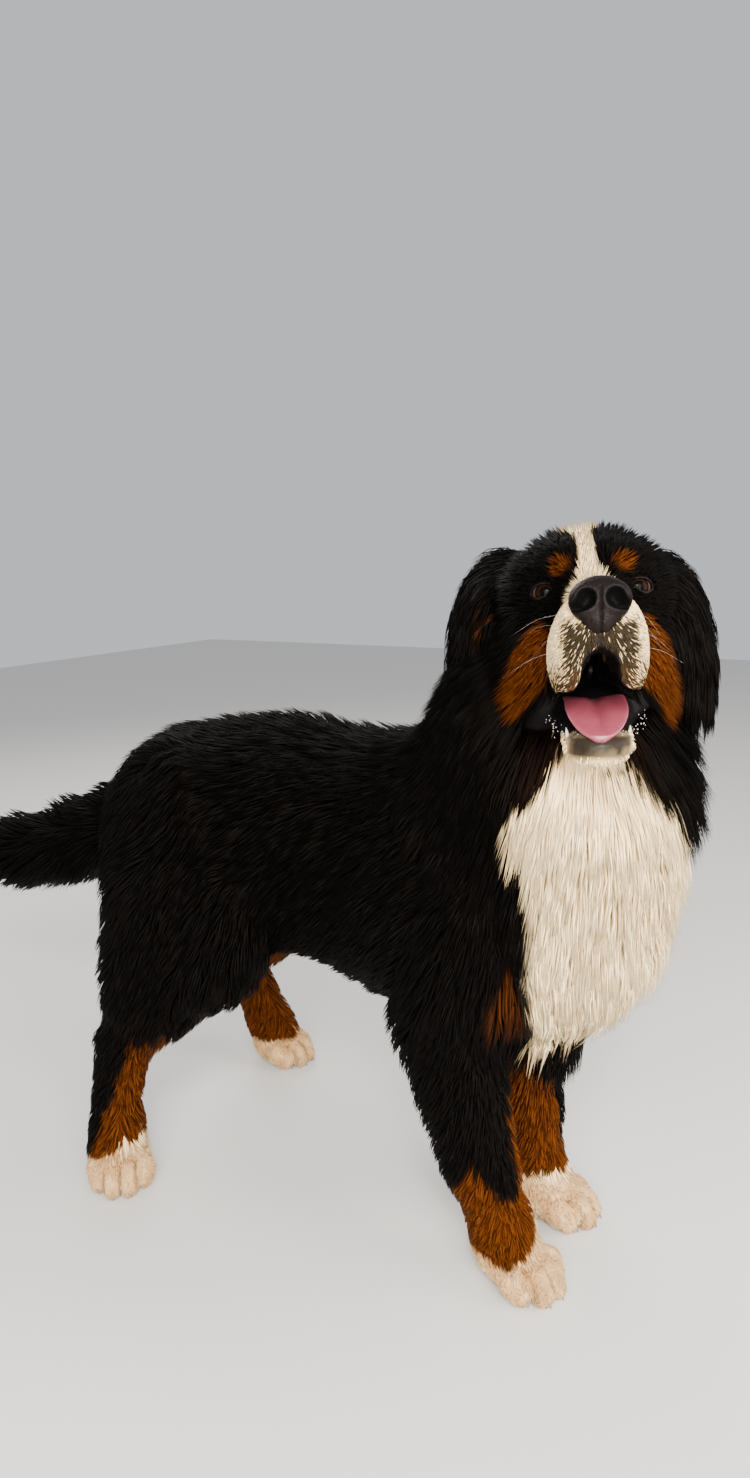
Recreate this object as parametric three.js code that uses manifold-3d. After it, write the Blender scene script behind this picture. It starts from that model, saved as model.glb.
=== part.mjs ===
// A Bernese mountain dog, life size: it stands on all four feet with its head raised, turned to its
// right, and its mouth open. Millimetres, +Z up, +X from the tail to the chest, and the origin on the
// floor below the middle of the dog.

import * as THREE from 'three';
import { mergeVertices } from 'three/addons/utils/BufferGeometryUtils.js';
import Module from 'manifold-3d';

const wasm = await Module();
wasm.setup();

// Driving dimensions
const GAP = 0.3; // between touching pieces
const BACK = 622; // skin height along the back
const BRISKET = 324; // skin height under the chest
const CHEST_HALF = 112; // half the width of the rib cage
const LOIN_HALF = 100;
const SKULL = { at: [350, -60, 775], turn: -63, lift: 17, roll: 2 }; // the head's own frame, in degrees
const EYE = { x: 66, y: 41, z: 18, r: 12 };
const EAR_ROOT = [-14, 70, 64];
const EAR_LENGTH = 150;
const CORE = 0.45; // how far the dense coat goes towards the tips of the locks
const WRIST = 74; // height of the cut between a leg and its paw

// Where each leg's joints are, from the shoulder or the hip down, and how far its paw turns out
const LEGS = {
  right: {
    side: -1,
    fore: { elbow: [212, -90, 372], carpus: [243, -76, 140], paw: [292, -69], turn: 17 },
    hind: { stifle: [-160, -114, 335], hock: [-290, -156, 192], paw: [-272, -193], turn: 46 },
  },
  left: {
    side: 1,
    fore: { elbow: [204, 90, 372], carpus: [228, 76, 140], paw: [272, 69], turn: 6 },
    hind: { stifle: [-195, 114, 335], hock: [-362, 164, 182], paw: [-302, 193], turn: 4 },
  },
};

const DEGREE = Math.PI / 180;
const UP = new THREE.Vector3(0, 0, 1);
const FORWARD = new THREE.Vector3(1, 0, 0);
const both = (make) => [make(-1), make(1)];

// Forms: round bodies that run softly into one another. Each has the depth of the coat over it, and
// its distance is asked at a share of that depth: 0 is the skin and 1 the tips of the hair.

// An ellipsoid, turned by degrees round Z and then dipped at its front.
function egg(at, radii, coat, dip = 0, turn = 0) {
  const [ct, st] = [Math.cos(turn * DEGREE), Math.sin(turn * DEGREE)];
  const [cd, sd] = [Math.cos(dip * DEGREE), Math.sin(dip * DEGREE)];
  return (x, y, z, share) => {
    const grow = coat * share;
    const [dx, dy, dz] = [x - at[0], y - at[1], z - at[2]];
    const flat = dx * ct + dy * st;
    const a = flat * cd - dz * sd;
    const b = dy * ct - dx * st;
    const c = flat * sd + dz * cd;
    const [ra, rb, rc] = [radii[0] + grow, radii[1] + grow, radii[2] + grow];
    const k = Math.hypot(a / ra, b / rb, c / rc);
    const slope = Math.hypot(a / (ra * ra), b / (rb * rb), c / (rc * rc));
    return slope > 0 ? (k * (k - 1)) / slope : -Math.min(ra, rb, rc);
  };
}

// A limb between two balls.
function limb(from, to, start, end, coat) {
  const along = [to[0] - from[0], to[1] - from[1], to[2] - from[2]];
  const square = along[0] ** 2 + along[1] ** 2 + along[2] ** 2;
  return (x, y, z, share) => {
    const d = [x - from[0], y - from[1], z - from[2]];
    const dot = d[0] * along[0] + d[1] * along[1] + d[2] * along[2];
    const t = Math.min(1, Math.max(0, dot / square));
    const off = Math.hypot(d[0] - along[0] * t, d[1] - along[1] * t, d[2] - along[2] * t);
    return off - (start + (end - start) * t + coat * share);
  };
}

// The forms joined, with a fillet of about the blend's size where they meet.
function joined(forms, blend, share) {
  return (x, y, z) => {
    let near = Infinity;
    for (const form of forms) {
      const away = form(x, y, z, share);
      const mix = Math.max(blend - Math.abs(near - away), 0) / blend;
      near = Math.min(near, away) - (mix * mix * blend) / 4;
    }
    return near;
  };
}

// Closed meshes

function geometryOf(points, faces) {
  const positions = new Float32Array(points.flat());
  return new THREE.BufferGeometry()
    .setAttribute('position', new THREE.BufferAttribute(positions, 3))
    .setIndex(faces.flat());
}

// A closed geometry as a solid, its faces turned outwards.
function solidOf(geometry, matrix) {
  const bare = geometry.clone();
  bare.deleteAttribute('normal');
  bare.deleteAttribute('uv');
  if (matrix) bare.applyMatrix4(matrix);
  const merged = mergeVertices(bare, 1e-3);
  const triVerts = new Uint32Array(merged.index.array);
  const mesh = { numProp: 3, vertProperties: merged.attributes.position.array, triVerts };
  const made = new wasm.Manifold(new wasm.Mesh(mesh));
  if (made.volume() > 0) return made;
  for (let i = 0; i < triVerts.length; i += 3) {
    [triVerts[i + 1], triVerts[i + 2]] = [triVerts[i + 2], triVerts[i + 1]];
  }
  return new wasm.Manifold(new wasm.Mesh(mesh));
}

// The largest closed surface of a solid, as a geometry.
function geometryFrom(solid) {
  const largest = solid.decompose().reduce((a, b) => (a.volume() > b.volume() ? a : b));
  const { numProp, vertProperties, triVerts } = largest.getMesh();
  const positions = new Float32Array((vertProperties.length / numProp) * 3);
  for (let i = 0; i * 3 < positions.length; i++) {
    positions.set(vertProperties.subarray(i * numProp, i * numProp + 3), i * 3);
  }
  return new THREE.BufferGeometry()
    .setAttribute('position', new THREE.BufferAttribute(positions, 3))
    .setIndex(new THREE.BufferAttribute(triVerts, 1));
}

// Rings of equal length joined into a tube, closed at both ends on a single point.
function tube(start, rings, end) {
  const n = rings[0].length;
  const points = [start, ...rings.flat(), end];
  const at = (row, i) => 1 + row * n + (i % n);
  const faces = [];
  for (let i = 0; i < n; i++) {
    faces.push([0, at(0, i + 1), at(0, i)]);
    faces.push([points.length - 1, at(rings.length - 1, i), at(rings.length - 1, i + 1)]);
    for (let row = 0; row + 1 < rings.length; row++) {
      faces.push([at(row, i), at(row, i + 1), at(row + 1, i)]);
      faces.push([at(row, i + 1), at(row + 1, i + 1), at(row + 1, i)]);
    }
  }
  return geometryOf(points, faces);
}

// How far the surface is from a point inside it.
function reach(surface, from, way, step = 4, far = 420) {
  const at = (t) => surface(from.x + way.x * t, from.y + way.y * t, from.z + way.z * t);
  let outside = step;
  while (outside < far && at(outside) < 0) outside += step;
  let inside = outside - step;
  for (let i = 0; i < 14; i++) {
    const middle = (inside + outside) / 2;
    if (at(middle) < 0) inside = middle;
    else outside = middle;
  }
  return inside;
}

// A closed skin round a spine: rays go out square to it, and tilt over its two ends.
function wrap(surface, spine, { rings, sides, facing = UP, domes = 2, grow = 0 }) {
  const hit = (from, way) => from.clone().addScaledVector(way, reach(surface, from, way) + grow).toArray();
  const rows = [];
  for (let i = -domes; i < rings + domes; i++) {
    const t = Math.min(1, Math.max(0, i / (rings - 1)));
    const from = spine.getPoint(t);
    const along = spine.getTangent(t);
    const over = i < 0 ? i / (domes + 1) : Math.max(0, i - rings + 1) / (domes + 1);
    const tilt = over * 90 * DEGREE;
    const u = facing.clone().cross(along).normalize();
    const v = along.clone().cross(u);
    const ring = [];
    for (let j = 0; j < sides; j++) {
      const angle = ((j + 0.5) / sides) * 2 * Math.PI;
      const way = u.clone().multiplyScalar(Math.cos(angle)).addScaledVector(v, Math.sin(angle));
      way.multiplyScalar(Math.cos(tilt)).addScaledVector(along, Math.sin(tilt));
      ring.push(hit(from, way));
    }
    rows.push(ring);
  }
  const [start, end] = [0, 1].map((t) => hit(spine.getPoint(t), spine.getTangent(t).multiplyScalar(t ? 1 : -1)));
  return tube(start, rows, end);
}

// A flat or round strap along a spine. Its half width and half thickness are functions of the way
// along it from 0 to 1, and a cup bends both its edges away from the side it faces.
function strap(spine, { rings, sides, facing, width, thick, cup = () => 0, phase = 0.5, grow = 0 }) {
  const rows = [];
  for (let i = 0; i < rings; i++) {
    const t = (i + 0.5) / rings;
    const from = spine.getPoint(t);
    const along = spine.getTangent(t);
    const across = along.clone().cross(facing(from)).normalize();
    const out = across.clone().cross(along);
    const ring = [];
    for (let j = 0; j < sides; j++) {
      const angle = ((j + phase) / sides) * 2 * Math.PI;
      const lateral = Math.cos(angle);
      const rise = Math.sin(angle) * (thick(t) + grow) - lateral * lateral * cup(t);
      const point = from.clone().addScaledVector(across, lateral * (width(t) + grow));
      ring.push(point.addScaledVector(out, rise).toArray());
    }
    rows.push(ring);
  }
  const [start, end] = [0, 1].map((t) => {
    const way = spine.getTangent(t).multiplyScalar(t ? grow : -grow);
    return spine.getPoint(t).add(way).toArray();
  });
  return tube(start, rows, end);
}

const vector = (p) => new THREE.Vector3(...p);
const curve = (...points) => new THREE.CatmullRomCurve3(points.map(vector));

// A fixed series of numbers from 0 to 1, so that the locks vary but are always the same
let seed = 41;
function random() {
  seed = (seed * 1664525 + 1013904223) % 4294967296;
  return seed / 4294967296;
}
const vary = (share) => 1 + share * (2 * random() - 1);

// The body's forms, in the dog's frame

const chestMiddle = (BACK + BRISKET) / 2;
const TORSO = [
  egg([150, 0, chestMiddle], [185, CHEST_HALF, (BACK - BRISKET) / 2], 36),
  egg([-75, 0, 489], [190, LOIN_HALF, 135], 34),
  egg([-238, 0, 494], [132, 102, 106], 32),
  egg([292, 2, 470], [80, 90, 116], 66),
  ...both((s) => egg([205, s * 74, 485], [78, 50, 118], 28)),
];
const NECK = [
  limb([226, -8, 552], [298, -26, 664], 100, 82, 42),
  limb([298, -26, 664], [322, -30, 724], 82, 66, 36),
  egg([336, -22, 585], [64, 78, 108], 66),
];
const TAIL_SPINE = [
  [-300, 0, 520],
  [-400, -22, 462],
  [-500, -50, 426],
  [-600, -78, 404],
  [-690, -92, 402],
];
const TAIL = [
  limb(TAIL_SPINE[0], TAIL_SPINE[1], 46, 34, 20),
  limb(TAIL_SPINE[1], TAIL_SPINE[2], 32, 24, 44),
  limb(TAIL_SPINE[2], TAIL_SPINE[3], 22, 16, 54),
  limb(TAIL_SPINE[3], TAIL_SPINE[4], 14, 8, 34),
];

function foreForms({ side, fore: { elbow, carpus, paw } }) {
  const behind = [elbow[0] - 34, elbow[1], elbow[2] - 40];
  return [
    limb([246, side * 84, 470], elbow, 64, 52, 22),
    limb(elbow, carpus, 46, 33, 10),
    limb(behind, [carpus[0] - 16, carpus[1], carpus[2] + 20], 32, 22, 26),
    limb(carpus, [paw[0] - 30, paw[1], 52], 33, 31, 6),
  ];
}

function hindForms({ side, hind: { stifle, hock, paw } }) {
  return [
    egg([-214, side * 86, 452], [120, 58, 146], 26),
    limb([-105, side * 92, 430], [stifle[0] + 14, stifle[1], stifle[2] + 6], 52, 56, 26),
    limb([-210, side * 104, 410], [hock[0] + 48, hock[1] * 0.86, hock[2] + 92], 84, 54, 26),
    limb(stifle, [hock[0] + 12, hock[1], hock[2] + 14], 54, 32, 14),
    limb(hock, [paw[0] - 16, paw[1], 56], 31, 28, 9),
  ];
}

// The head's forms, in the head's own frame: +X to the nose and +Z to the crown
const HEAD = [
  egg([-8, 0, 16], [92, 72, 60], 16),
  egg([44, 0, 22], [42, 48, 36], 8),
  ...both((s) => egg([60, s * 27, 38], [18, 17, 13], 5)),
  limb([60, 0, 0], [146, 0, -16], 27, 19, 3),
  ...both((s) => egg([116, s * 24, -52], [46, 16, 36], 3, 6)),
  ...both((s) => egg([146, s * 12, -36], [18, 17, 22], 2)),
  ...both((s) => egg([14, s * 42, -32], [54, 27, 44], 12)),
  ...both((s) => egg([-14, s * 34, -62], [46, 30, 36], 18)),
  egg([-66, 0, 2], [44, 56, 56], 22),
];
const MOUTH = [egg([84, 0, -84], [72, 31, 27], 0, 20), egg([118, 0, -98], [52, 34, 24], 0, 24)];
const JAW = [
  egg([66, 0, -106], [70, 32, 16], 3, 28),
  egg([112, 0, -128], [20, 28, 13], 4, 20),
  egg([6, 0, -88], [44, 42, 30], 16),
];
const NOSE = [
  egg([163, 0, -14], [16, 23, 18], 0),
  ...both((s) => egg([169, s * 13, -18], [12, 12, 14], 0)),
];
const TONGUE_SPINE = curve([22, 0, -80], [62, 0, -86], [100, 0, -102], [133, 0, -126]);
const LOOK = [0.88, 0.36, 0.2]; // the way each eye looks, with the middle number towards its own side

// A paw's forms, in its own frame: +X along the middle toes and the origin on the floor below them
const TOES = [
  { y: -29, x: 16, r: 15.5 },
  { y: -10, x: 32, r: 17 },
  { y: 10, x: 32, r: 17 },
  { y: 29, x: 16, r: 15.5 },
];
const INSTEP = [limb([-34, 0, 70], [-20, 0, 34], 28, 30, 6), egg([-8, 0, 26], [40, 34, 24], 4)];

// The coat's own surfaces, from the skin at 0 to the tips at 1, over the whole body or over the head
const GROUPS = {
  torso: [TORSO, 60],
  neck: [NECK, 50],
  tail: [TAIL, 26],
  thigh_right: [hindForms(LEGS.right), 24],
  thigh_left: [hindForms(LEGS.left), 24],
  foreleg_right: [foreForms(LEGS.right), 20],
  foreleg_left: [foreForms(LEGS.left), 20],
};
const surfaceOf = (name, share) => joined(...GROUPS[name], share);
function bodyCoat(share) {
  const surfaces = Object.keys(GROUPS).map((name) => surfaceOf(name, share));
  return (x, y, z) => Math.min(...surfaces.map((surface) => surface(x, y, z)));
}
const headCoat = (share) => joined(HEAD, 18, share);

// The group whose flesh is nearest to a point
const nearness = Object.keys(GROUPS).map((name) => [name, surfaceOf(name, CORE)]);
function ownerOf({ x, y, z }) {
  return nearness.reduce((best, [name, surface]) => {
    const away = surface(x, y, z);
    return away < best.away ? { name, away } : best;
  }, { away: Infinity }).name;
}

function normalAt(surface, p, step = 3) {
  const at = (dx, dy, dz) => surface(p.x + dx, p.y + dy, p.z + dz);
  return new THREE.Vector3(
    at(step, 0, 0) - at(-step, 0, 0),
    at(0, step, 0) - at(0, -step, 0),
    at(0, 0, step) - at(0, 0, -step),
  ).normalize();
}

// A point moved straight out or in until it lies on the surface
function settle(surface, point) {
  const p = point.clone();
  for (let i = 0; i < 3; i++) p.addScaledVector(normalAt(surface, p), -surface(p.x, p.y, p.z));
  return p;
}

// The spine of one lock: from its root in the flesh it runs along the lie of the coat and comes up
// to the tips' surface.
const RISE = [0.12, 0.48, 0.7, 0.87, 1];
function lockSpine(coat, root, lie, length) {
  const points = [settle(coat(RISE[0]), root)];
  for (const share of RISE.slice(1)) {
    const surface = coat(share);
    const last = points.at(-1);
    const normal = normalAt(surface, last);
    const way = lie(last).clone().addScaledVector(normal, -lie(last).dot(normal)).normalize();
    points.push(settle(surface, last.clone().addScaledVector(way, length / (RISE.length - 1))));
  }
  return new THREE.CatmullRomCurve3(points);
}

const LEAF = (t) => 0.35 + 0.65 * Math.sin(Math.PI * Math.min(1, 0.25 + t * 0.8)) - 0.25 * t;

// One lock: flat behind, with a low ridge along its outer face
function lock(path, { wide, thick, facing, grow }) {
  const width = (t) => 0.58 * wide * LEAF(t) + 4 * grow;
  const height = (t) => thick * (1.2 - 0.6 * t);
  return solidOf(strap(path, { rings: 3, sides: 3, phase: 0.75, facing, width, thick: height, grow }));
}

// Whether a lock lies wholly inside its own grown shape, which one that is twisted doesn't
function evenly(path, shape) {
  const rest = lock(path, { ...shape, grow: 0 }).subtract(lock(path, { ...shape, grow: GAP }));
  return Math.abs(rest.volume()) < 1e-3;
}

// Locks in rows round a spine, each row shifted by half a lock from the one before. A lock is left
// out where its root or its tip lies on another part's flesh, unless it may overhang that part.
function locksOn({ coat = bodyCoat, owner, overhang = [], spine, facing = UP, rows, angles, lie, length, width, thick = 6 }) {
  const roots = coat(0.3);
  const made = [];
  const [from, to, count] = angles;
  rows.forEach((t, row) => {
    const at = spine.getPoint(t);
    const along = spine.getTangent(t);
    const u = facing.clone().cross(along).normalize();
    const v = along.clone().cross(u);
    for (let i = 0; i < count; i++) {
      const share = (i + (row % 2 ? 0.75 : 0.25)) / count;
      const angle = (from + (to - from) * share) * DEGREE;
      const way = u.clone().multiplyScalar(Math.cos(angle)).addScaledVector(v, Math.sin(angle));
      const root = at.clone().addScaledVector(way, reach(roots, at, way));
      const [long, wide, turn] = [length * vary(0.15), width * vary(0.08), 9 * DEGREE * (2 * random() - 1)];
      const path = lockSpine(coat, root, (p) => lie(p).clone().applyAxisAngle(way, turn), long);
      const own = (p) => !owner || ownerOf(p) === owner;
      const hangs = (p) => own(p) || overhang.includes(ownerOf(p));
      if (own(path.getPoint(0.1)) && hangs(path.getPoint(0.5)) && hangs(path.getPoint(1))) made.push({ path, wide });
    }
  });
  const outer = coat(1);
  const shaped = made.map(({ path, wide }) => {
    const along = (p) => normalAt(outer, p);
    const middle = along(path.getPoint(0.6));
    const shapes = [along, () => middle].map((facing) => ({ wide, thick, facing }));
    return { path, shape: shapes.find((shape) => evenly(path, shape)) };
  });
  return (grow) => shaped.filter(({ shape }) => shape).map(({ path, shape }) => lock(path, { ...shape, grow }));
}

// The parts, each made at its own size and once more grown by the gap, to cut its neighbours with

const paint = (color, roughness = 0.85) => new THREE.MeshStandardMaterial({ color, roughness, metalness: 0 });
const BLACK = paint('#14110f');
const RUST = paint('#8a4312');
const WHITE = paint('#e6dccb');
const PINK = paint('#c9707c', 0.4);
const LEATHER = paint('#241f21', 0.45);
const EYES = paint('#2a1509', 0.1);

const dog = new THREE.Group();
const head = new THREE.Group();
head.position.set(...SKULL.at);
head.rotation.set(SKULL.roll * DEGREE, -SKULL.lift * DEGREE, SKULL.turn * DEGREE, 'ZYX');
head.updateMatrix();
dog.add(head);
const toBody = head.matrix.toArray();
const toHead = head.matrix.clone().invert().toArray();

const largest = (solid) => solid.decompose().reduce((a, b) => (a.volume() > b.volume() ? a : b));
const union = (solids) => wasm.Manifold.union(solids);

const parts = [];
function part(name, material, make, parent = dog) {
  const place = (solid) => (parent === head ? solid.transform(toBody) : solid);
  let solid = largest(place(make(0)));
  for (const { cutter } of parts) {
    if (!solid.intersect(cutter).isEmpty()) solid = largest(solid.subtract(cutter));
  }
  parts.push({ cutter: place(make(GAP)) });
  const mesh = new THREE.Mesh(geometryFrom(parent === head ? solid.transform(toHead) : solid), material);
  mesh.name = name;
  parent.add(mesh);
}

// Eyes, nose, tongue and jaw

function ball(side, grow) {
  const sphere = new THREE.SphereGeometry(EYE.r + grow, 10, 7);
  return solidOf(sphere.translate(EYE.x, side * EYE.y, EYE.z));
}
function nose(grow) {
  const outside = solidOf(wrap(joined(NOSE, 6, 1), curve([156, 0, -14], [166, 0, -15]), { rings: 3, sides: 12, grow }));
  if (grow) return outside;
  const nostrils = both((s) => {
    const round = egg([181, s * 11, -19], [9, 5.5, 6.5], 0, 10, s * 24);
    const slit = egg([176, s * 20, -24], [8, 6, 2.6], 0);
    const spine = curve([174, s * 12, -19], [183, s * 12, -20]);
    return solidOf(wrap(joined([round, slit], 4, 0), spine, { rings: 2, sides: 8, domes: 1 }));
  });
  return outside.subtract(union(nostrils));
}
function tongue(grow) {
  const width = (t) => 27 * Math.sqrt(Math.max(0, 1 - Math.max(0, (t - 0.55) / 0.5) ** 2));
  const thick = (t) => 6 - 2 * t;
  const cup = (t) => -5 * (1 - t);
  const facing = () => UP;
  return solidOf(strap(TONGUE_SPINE, { rings: 8, sides: 10, facing, width, thick, cup, grow }));
}
// A cone that bends a little towards its tip, for a tooth or a claw
function spike(root, tip, bend, radius, grow) {
  const middle = root.map((v, i) => (v + tip[i]) / 2 + bend[i]);
  const width = (t) => radius * (1 - 0.75 * t);
  const facing = () => new THREE.Vector3(0.1, 1, 0.1).normalize();
  return solidOf(strap(curve(root, middle, tip), { rings: 2, sides: 5, facing, width, thick: width, grow }));
}
function lowerJaw(grow) {
  const spine = curve([10, 0, -90], [60, 0, -104], [108, 0, -126]);
  const flesh = solidOf(wrap(joined(JAW, 14, 1), spine, { rings: 6, sides: 14, grow }));
  const canines = both((s) => spike([112, s * 20, -124], [119, s * 23, -103], [2, 0, 0], 4, grow));
  return union([flesh, ...canines]);
}

for (const [name, { side }] of Object.entries(LEGS)) part(`eye_${name}`, EYES, (grow) => ball(side, grow), head);
part('nose', LEATHER, nose, head);
part('tongue', PINK, tongue, head);
part('lower_jaw', WHITE, lowerJaw, head);

// Head, with open sockets under the lids

const mouth = solidOf(wrap(joined(MOUTH, 12, 0), curve([60, 0, -78], [130, 0, -98]), { rings: 4, sides: 12, domes: 1 }));

function socket(side) {
  const centre = [EYE.x, side * EYE.y, EYE.z];
  const outer = [0, 1, 2].map((i) => centre[i] + 26 * LOOK[i] * (i === 1 ? side : 1));
  const field = joined([limb(centre, outer, EYE.r + GAP, EYE.r + 1, 0)], 4, 0);
  return solidOf(wrap(field, curve(centre, outer), { rings: 2, sides: 10, domes: 1 }));
}

// A lid: a band over the ball from one corner of the eye to the other, up over it or down under it
function lid(side, up, grow) {
  const centre = new THREE.Vector3(EYE.x, side * EYE.y, EYE.z);
  const look = new THREE.Vector3(LOOK[0], side * LOOK[1], LOOK[2]).normalize();
  const outward = UP.clone().cross(look).multiplyScalar(side).normalize();
  const over = outward.clone().cross(look).multiplyScalar(side * up);
  const points = [];
  for (let i = 0; i <= 6; i++) {
    const around = (Math.PI * i) / 6;
    const height = (up > 0 ? 0.62 : 0.5) * Math.sin(around);
    const way = look.clone().multiplyScalar(0.62).addScaledVector(outward, 0.82 * Math.cos(around));
    way.addScaledVector(over, height).normalize();
    points.push(centre.clone().addScaledVector(way, EYE.r + 2.2));
  }
  const facing = (p) => p.clone().sub(centre).normalize();
  const width = (t) => 3 + 2.2 * Math.sin(Math.PI * t);
  const spine = new THREE.CatmullRomCurve3(points);
  return solidOf(strap(spine, { rings: 6, sides: 4, phase: 0, facing, width, thick: () => 1.7, grow }));
}

const cheekLie = (p) => new THREE.Vector3(-0.75, 0.25 * Math.sign(p.y), -0.7);
const cheekLocks = both((s) => locksOn({
  coat: headCoat,
  spine: curve([-50, s * 10, -30], [30, s * 10, -30]),
  rows: [0.1, 0.6],
  angles: s > 0 ? [-70, 10, 2] : [170, 250, 2],
  lie: cheekLie,
  length: 90,
  width: 46,
  thick: 6,
}));

part('head', BLACK, (grow) => {
  const spine = curve([-62, 0, 6], [20, 0, -10], [90, 0, -30], [134, 0, -34]);
  const flesh = solidOf(wrap(headCoat(1), spine, { rings: 13, sides: 22, domes: 3, grow }));
  const locks = cheekLocks.flatMap((locks) => locks(grow));
  if (grow) return union([flesh, ...locks]);
  const open = union([flesh, ...locks]).subtract(union([mouth, socket(-1), socket(1)]));
  const lids = [-1, 1].flatMap((side) => [lid(side, 1, 0), lid(side, -1, 0)]);
  return union([open, ...lids]);
}, head);

// Ears: cupped leather that hangs from its root, with a fringe of locks

function earSpine(side) {
  const [x, y, z] = EAR_ROOT;
  return curve(
    [x, side * (y - 8), z - 4],
    [x - 8, side * (y + 30), z - 4],
    [x - 30, side * (y + 58), z - 62],
    [x - 52, side * (y + 62), z - EAR_LENGTH],
  );
}
const earFacing = (side) => () => new THREE.Vector3(0.45, side * 0.85, 0.3).normalize();
function ear(side, grow) {
  const spine = earSpine(side);
  const width = (t) => 18 + 36 * Math.sin(Math.PI * Math.min(1, t * 0.85 + 0.12)) ** 0.8;
  const thick = (t) => 9 - 4 * t;
  const cup = (t) => 16 * (1 - 0.6 * t);
  const facing = earFacing(side);
  return solidOf(strap(spine, { rings: 6, sides: 10, facing, width, thick, cup, grow }));
}
function earFringe(side) {
  const spine = earSpine(side);
  const across = spine.getTangent(0.6).cross(earFacing(side)()).normalize();
  return [-1.5, -0.9, -0.3, 0.3, 0.9, 1.5].map((place, i) => {
    const from = spine.getPoint(0.5 + 0.12 * (i % 2)).addScaledVector(across, place * 24);
    const drop = 92 * vary(0.15) * (1 - 0.12 * Math.abs(place));
    const middle = from.clone().add(new THREE.Vector3(-12, side * 8, -drop * 0.55)).addScaledVector(across, place * 6);
    const tip = from.clone().add(new THREE.Vector3(-24, side * 2, -drop)).addScaledVector(across, place * 2);
    return { path: new THREE.CatmullRomCurve3([from, middle, tip]), wide: 36 * vary(0.15) };
  });
}
for (const [name, { side }] of Object.entries(LEGS)) {
  const fringe = earFringe(side);
  const facing = earFacing(side);
  part(`ear_${name}`, BLACK, (grow) => {
    const locks = fringe.map(({ path, wide }) => lock(path, { wide, thick: 5, facing, grow }));
    return union([ear(side, grow), ...locks]);
  }, head);
}

// Trunk and neck

const trunkSpine = curve([-265, 0, 505], [-80, 0, 500], [120, 0, 488], [290, 0, 484]);
const backLie = (p) => new THREE.Vector3(-1, 0, -0.2 - 0.6 * Math.min(1, Math.abs(p.y) / 140) - (p.x < -290 ? 1 : 0));
const trunkLocks = [
  locksOn({
    owner: 'torso',
    overhang: ['thigh_right', 'thigh_left', 'tail'],
    spine: trunkSpine,
    rows: [0, 0.19, 0.38, 0.57, 0.76],
    angles: [-34, 214, 8],
    lie: backLie,
    length: 190,
    width: 84,
    thick: 8,
  }),
  locksOn({
    owner: 'torso',
    spine: trunkSpine,
    rows: [0.36, 0.54, 0.72, 0.9],
    angles: [232, 308, 2],
    lie: () => new THREE.Vector3(-1, 0, -0.45),
    length: 140,
    width: 84,
    thick: 7,
  }),
  locksOn({
    owner: 'torso',
    spine: curve([262, 0, 480], [262, 0, 380]),
    facing: FORWARD,
    rows: [0.1, 0.95],
    angles: [36, 144, 3],
    lie: () => new THREE.Vector3(0.25, 0, -1),
    length: 165,
    width: 80,
    thick: 8,
  }),
];
part('torso', BLACK, (grow) => {
  const core = solidOf(wrap(surfaceOf('torso', CORE), trunkSpine, { rings: 12, sides: 20, domes: 3, grow }));
  return union([core, ...trunkLocks.flatMap((locks) => locks(grow))]);
});

const neckSpine = curve([236, -10, 570], [278, -20, 630], [306, -28, 684], [320, -30, 722]);
const neckLie = (p) => new THREE.Vector3(-0.35 + (p.x > 330 ? 0.35 : 0), 0, -1);
const neckLocks = locksOn({
  owner: 'neck',
  overhang: ['torso', 'foreleg_right', 'foreleg_left'],
  spine: neckSpine,
  facing: FORWARD,
  rows: [0.02, 0.36, 0.68, 1],
  angles: [0, 360, 7],
  lie: neckLie,
  length: 165,
  width: 96,
  thick: 8,
});
part('neck', BLACK, (grow) => {
  const core = solidOf(wrap(surfaceOf('neck', CORE), neckSpine, { rings: 6, sides: 16, facing: FORWARD, grow }));
  return union([core, ...neckLocks(grow)]);
});

// Tail, with its plume

const tailSpine = curve(...TAIL_SPINE);
const tailLie = (p) => new THREE.Vector3(-1, -0.2, p.z > 430 ? -0.1 : -0.35);
const plume = locksOn({
  owner: 'tail',
  spine: tailSpine,
  rows: [0.14, 0.36, 0.58, 0.8],
  angles: [0, 360, 4],
  lie: tailLie,
  length: 165,
  width: 66,
  thick: 7,
});
part('tail', BLACK, (grow) => {
  const core = solidOf(wrap(surfaceOf('tail', CORE), tailSpine, { rings: 9, sides: 10, grow }));
  return union([core, ...plume(grow)]);
});

// Paws and legs

function paw({ turn, paw: [x, y] }, side, grow) {
  const place = new THREE.Matrix4().makeRotationZ(side * turn * DEGREE).setPosition(x, y, 0);
  const spine = curve([-30, 0, 62], [-22, 0, 36], [-6, 0, 26], [10, 0, 22]);
  const instep = wrap(joined(INSTEP, 16, 1), spine, { rings: 3, sides: 8, domes: 1, grow });
  const toes = TOES.flatMap((toe) => {
    const [back, knuckle, front] = [
      [toe.x - 22, toe.y * 0.85, 28],
      [toe.x - 4, toe.y, 24],
      [toe.x + 6, toe.y, 15],
    ];
    const forms = [limb(back, knuckle, toe.r - 2, toe.r, 3), limb(knuckle, front, toe.r, toe.r - 3, 3)];
    const pad = wrap(joined(forms, 6, 1), curve(back, knuckle, front), { rings: 2, sides: 6, domes: 1, grow });
    const claw = spike([toe.x + 12, toe.y, 16], [toe.x + 27, toe.y, 5], [2, 0, 3], 3.6, grow);
    return [solidOf(pad, place), claw.transform(place.toArray())];
  });
  return union([solidOf(instep, place), ...toes]).trimByPlane([0, 0, 1], 0).trimByPlane([0, 0, -1], -WRIST - grow);
}

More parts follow.
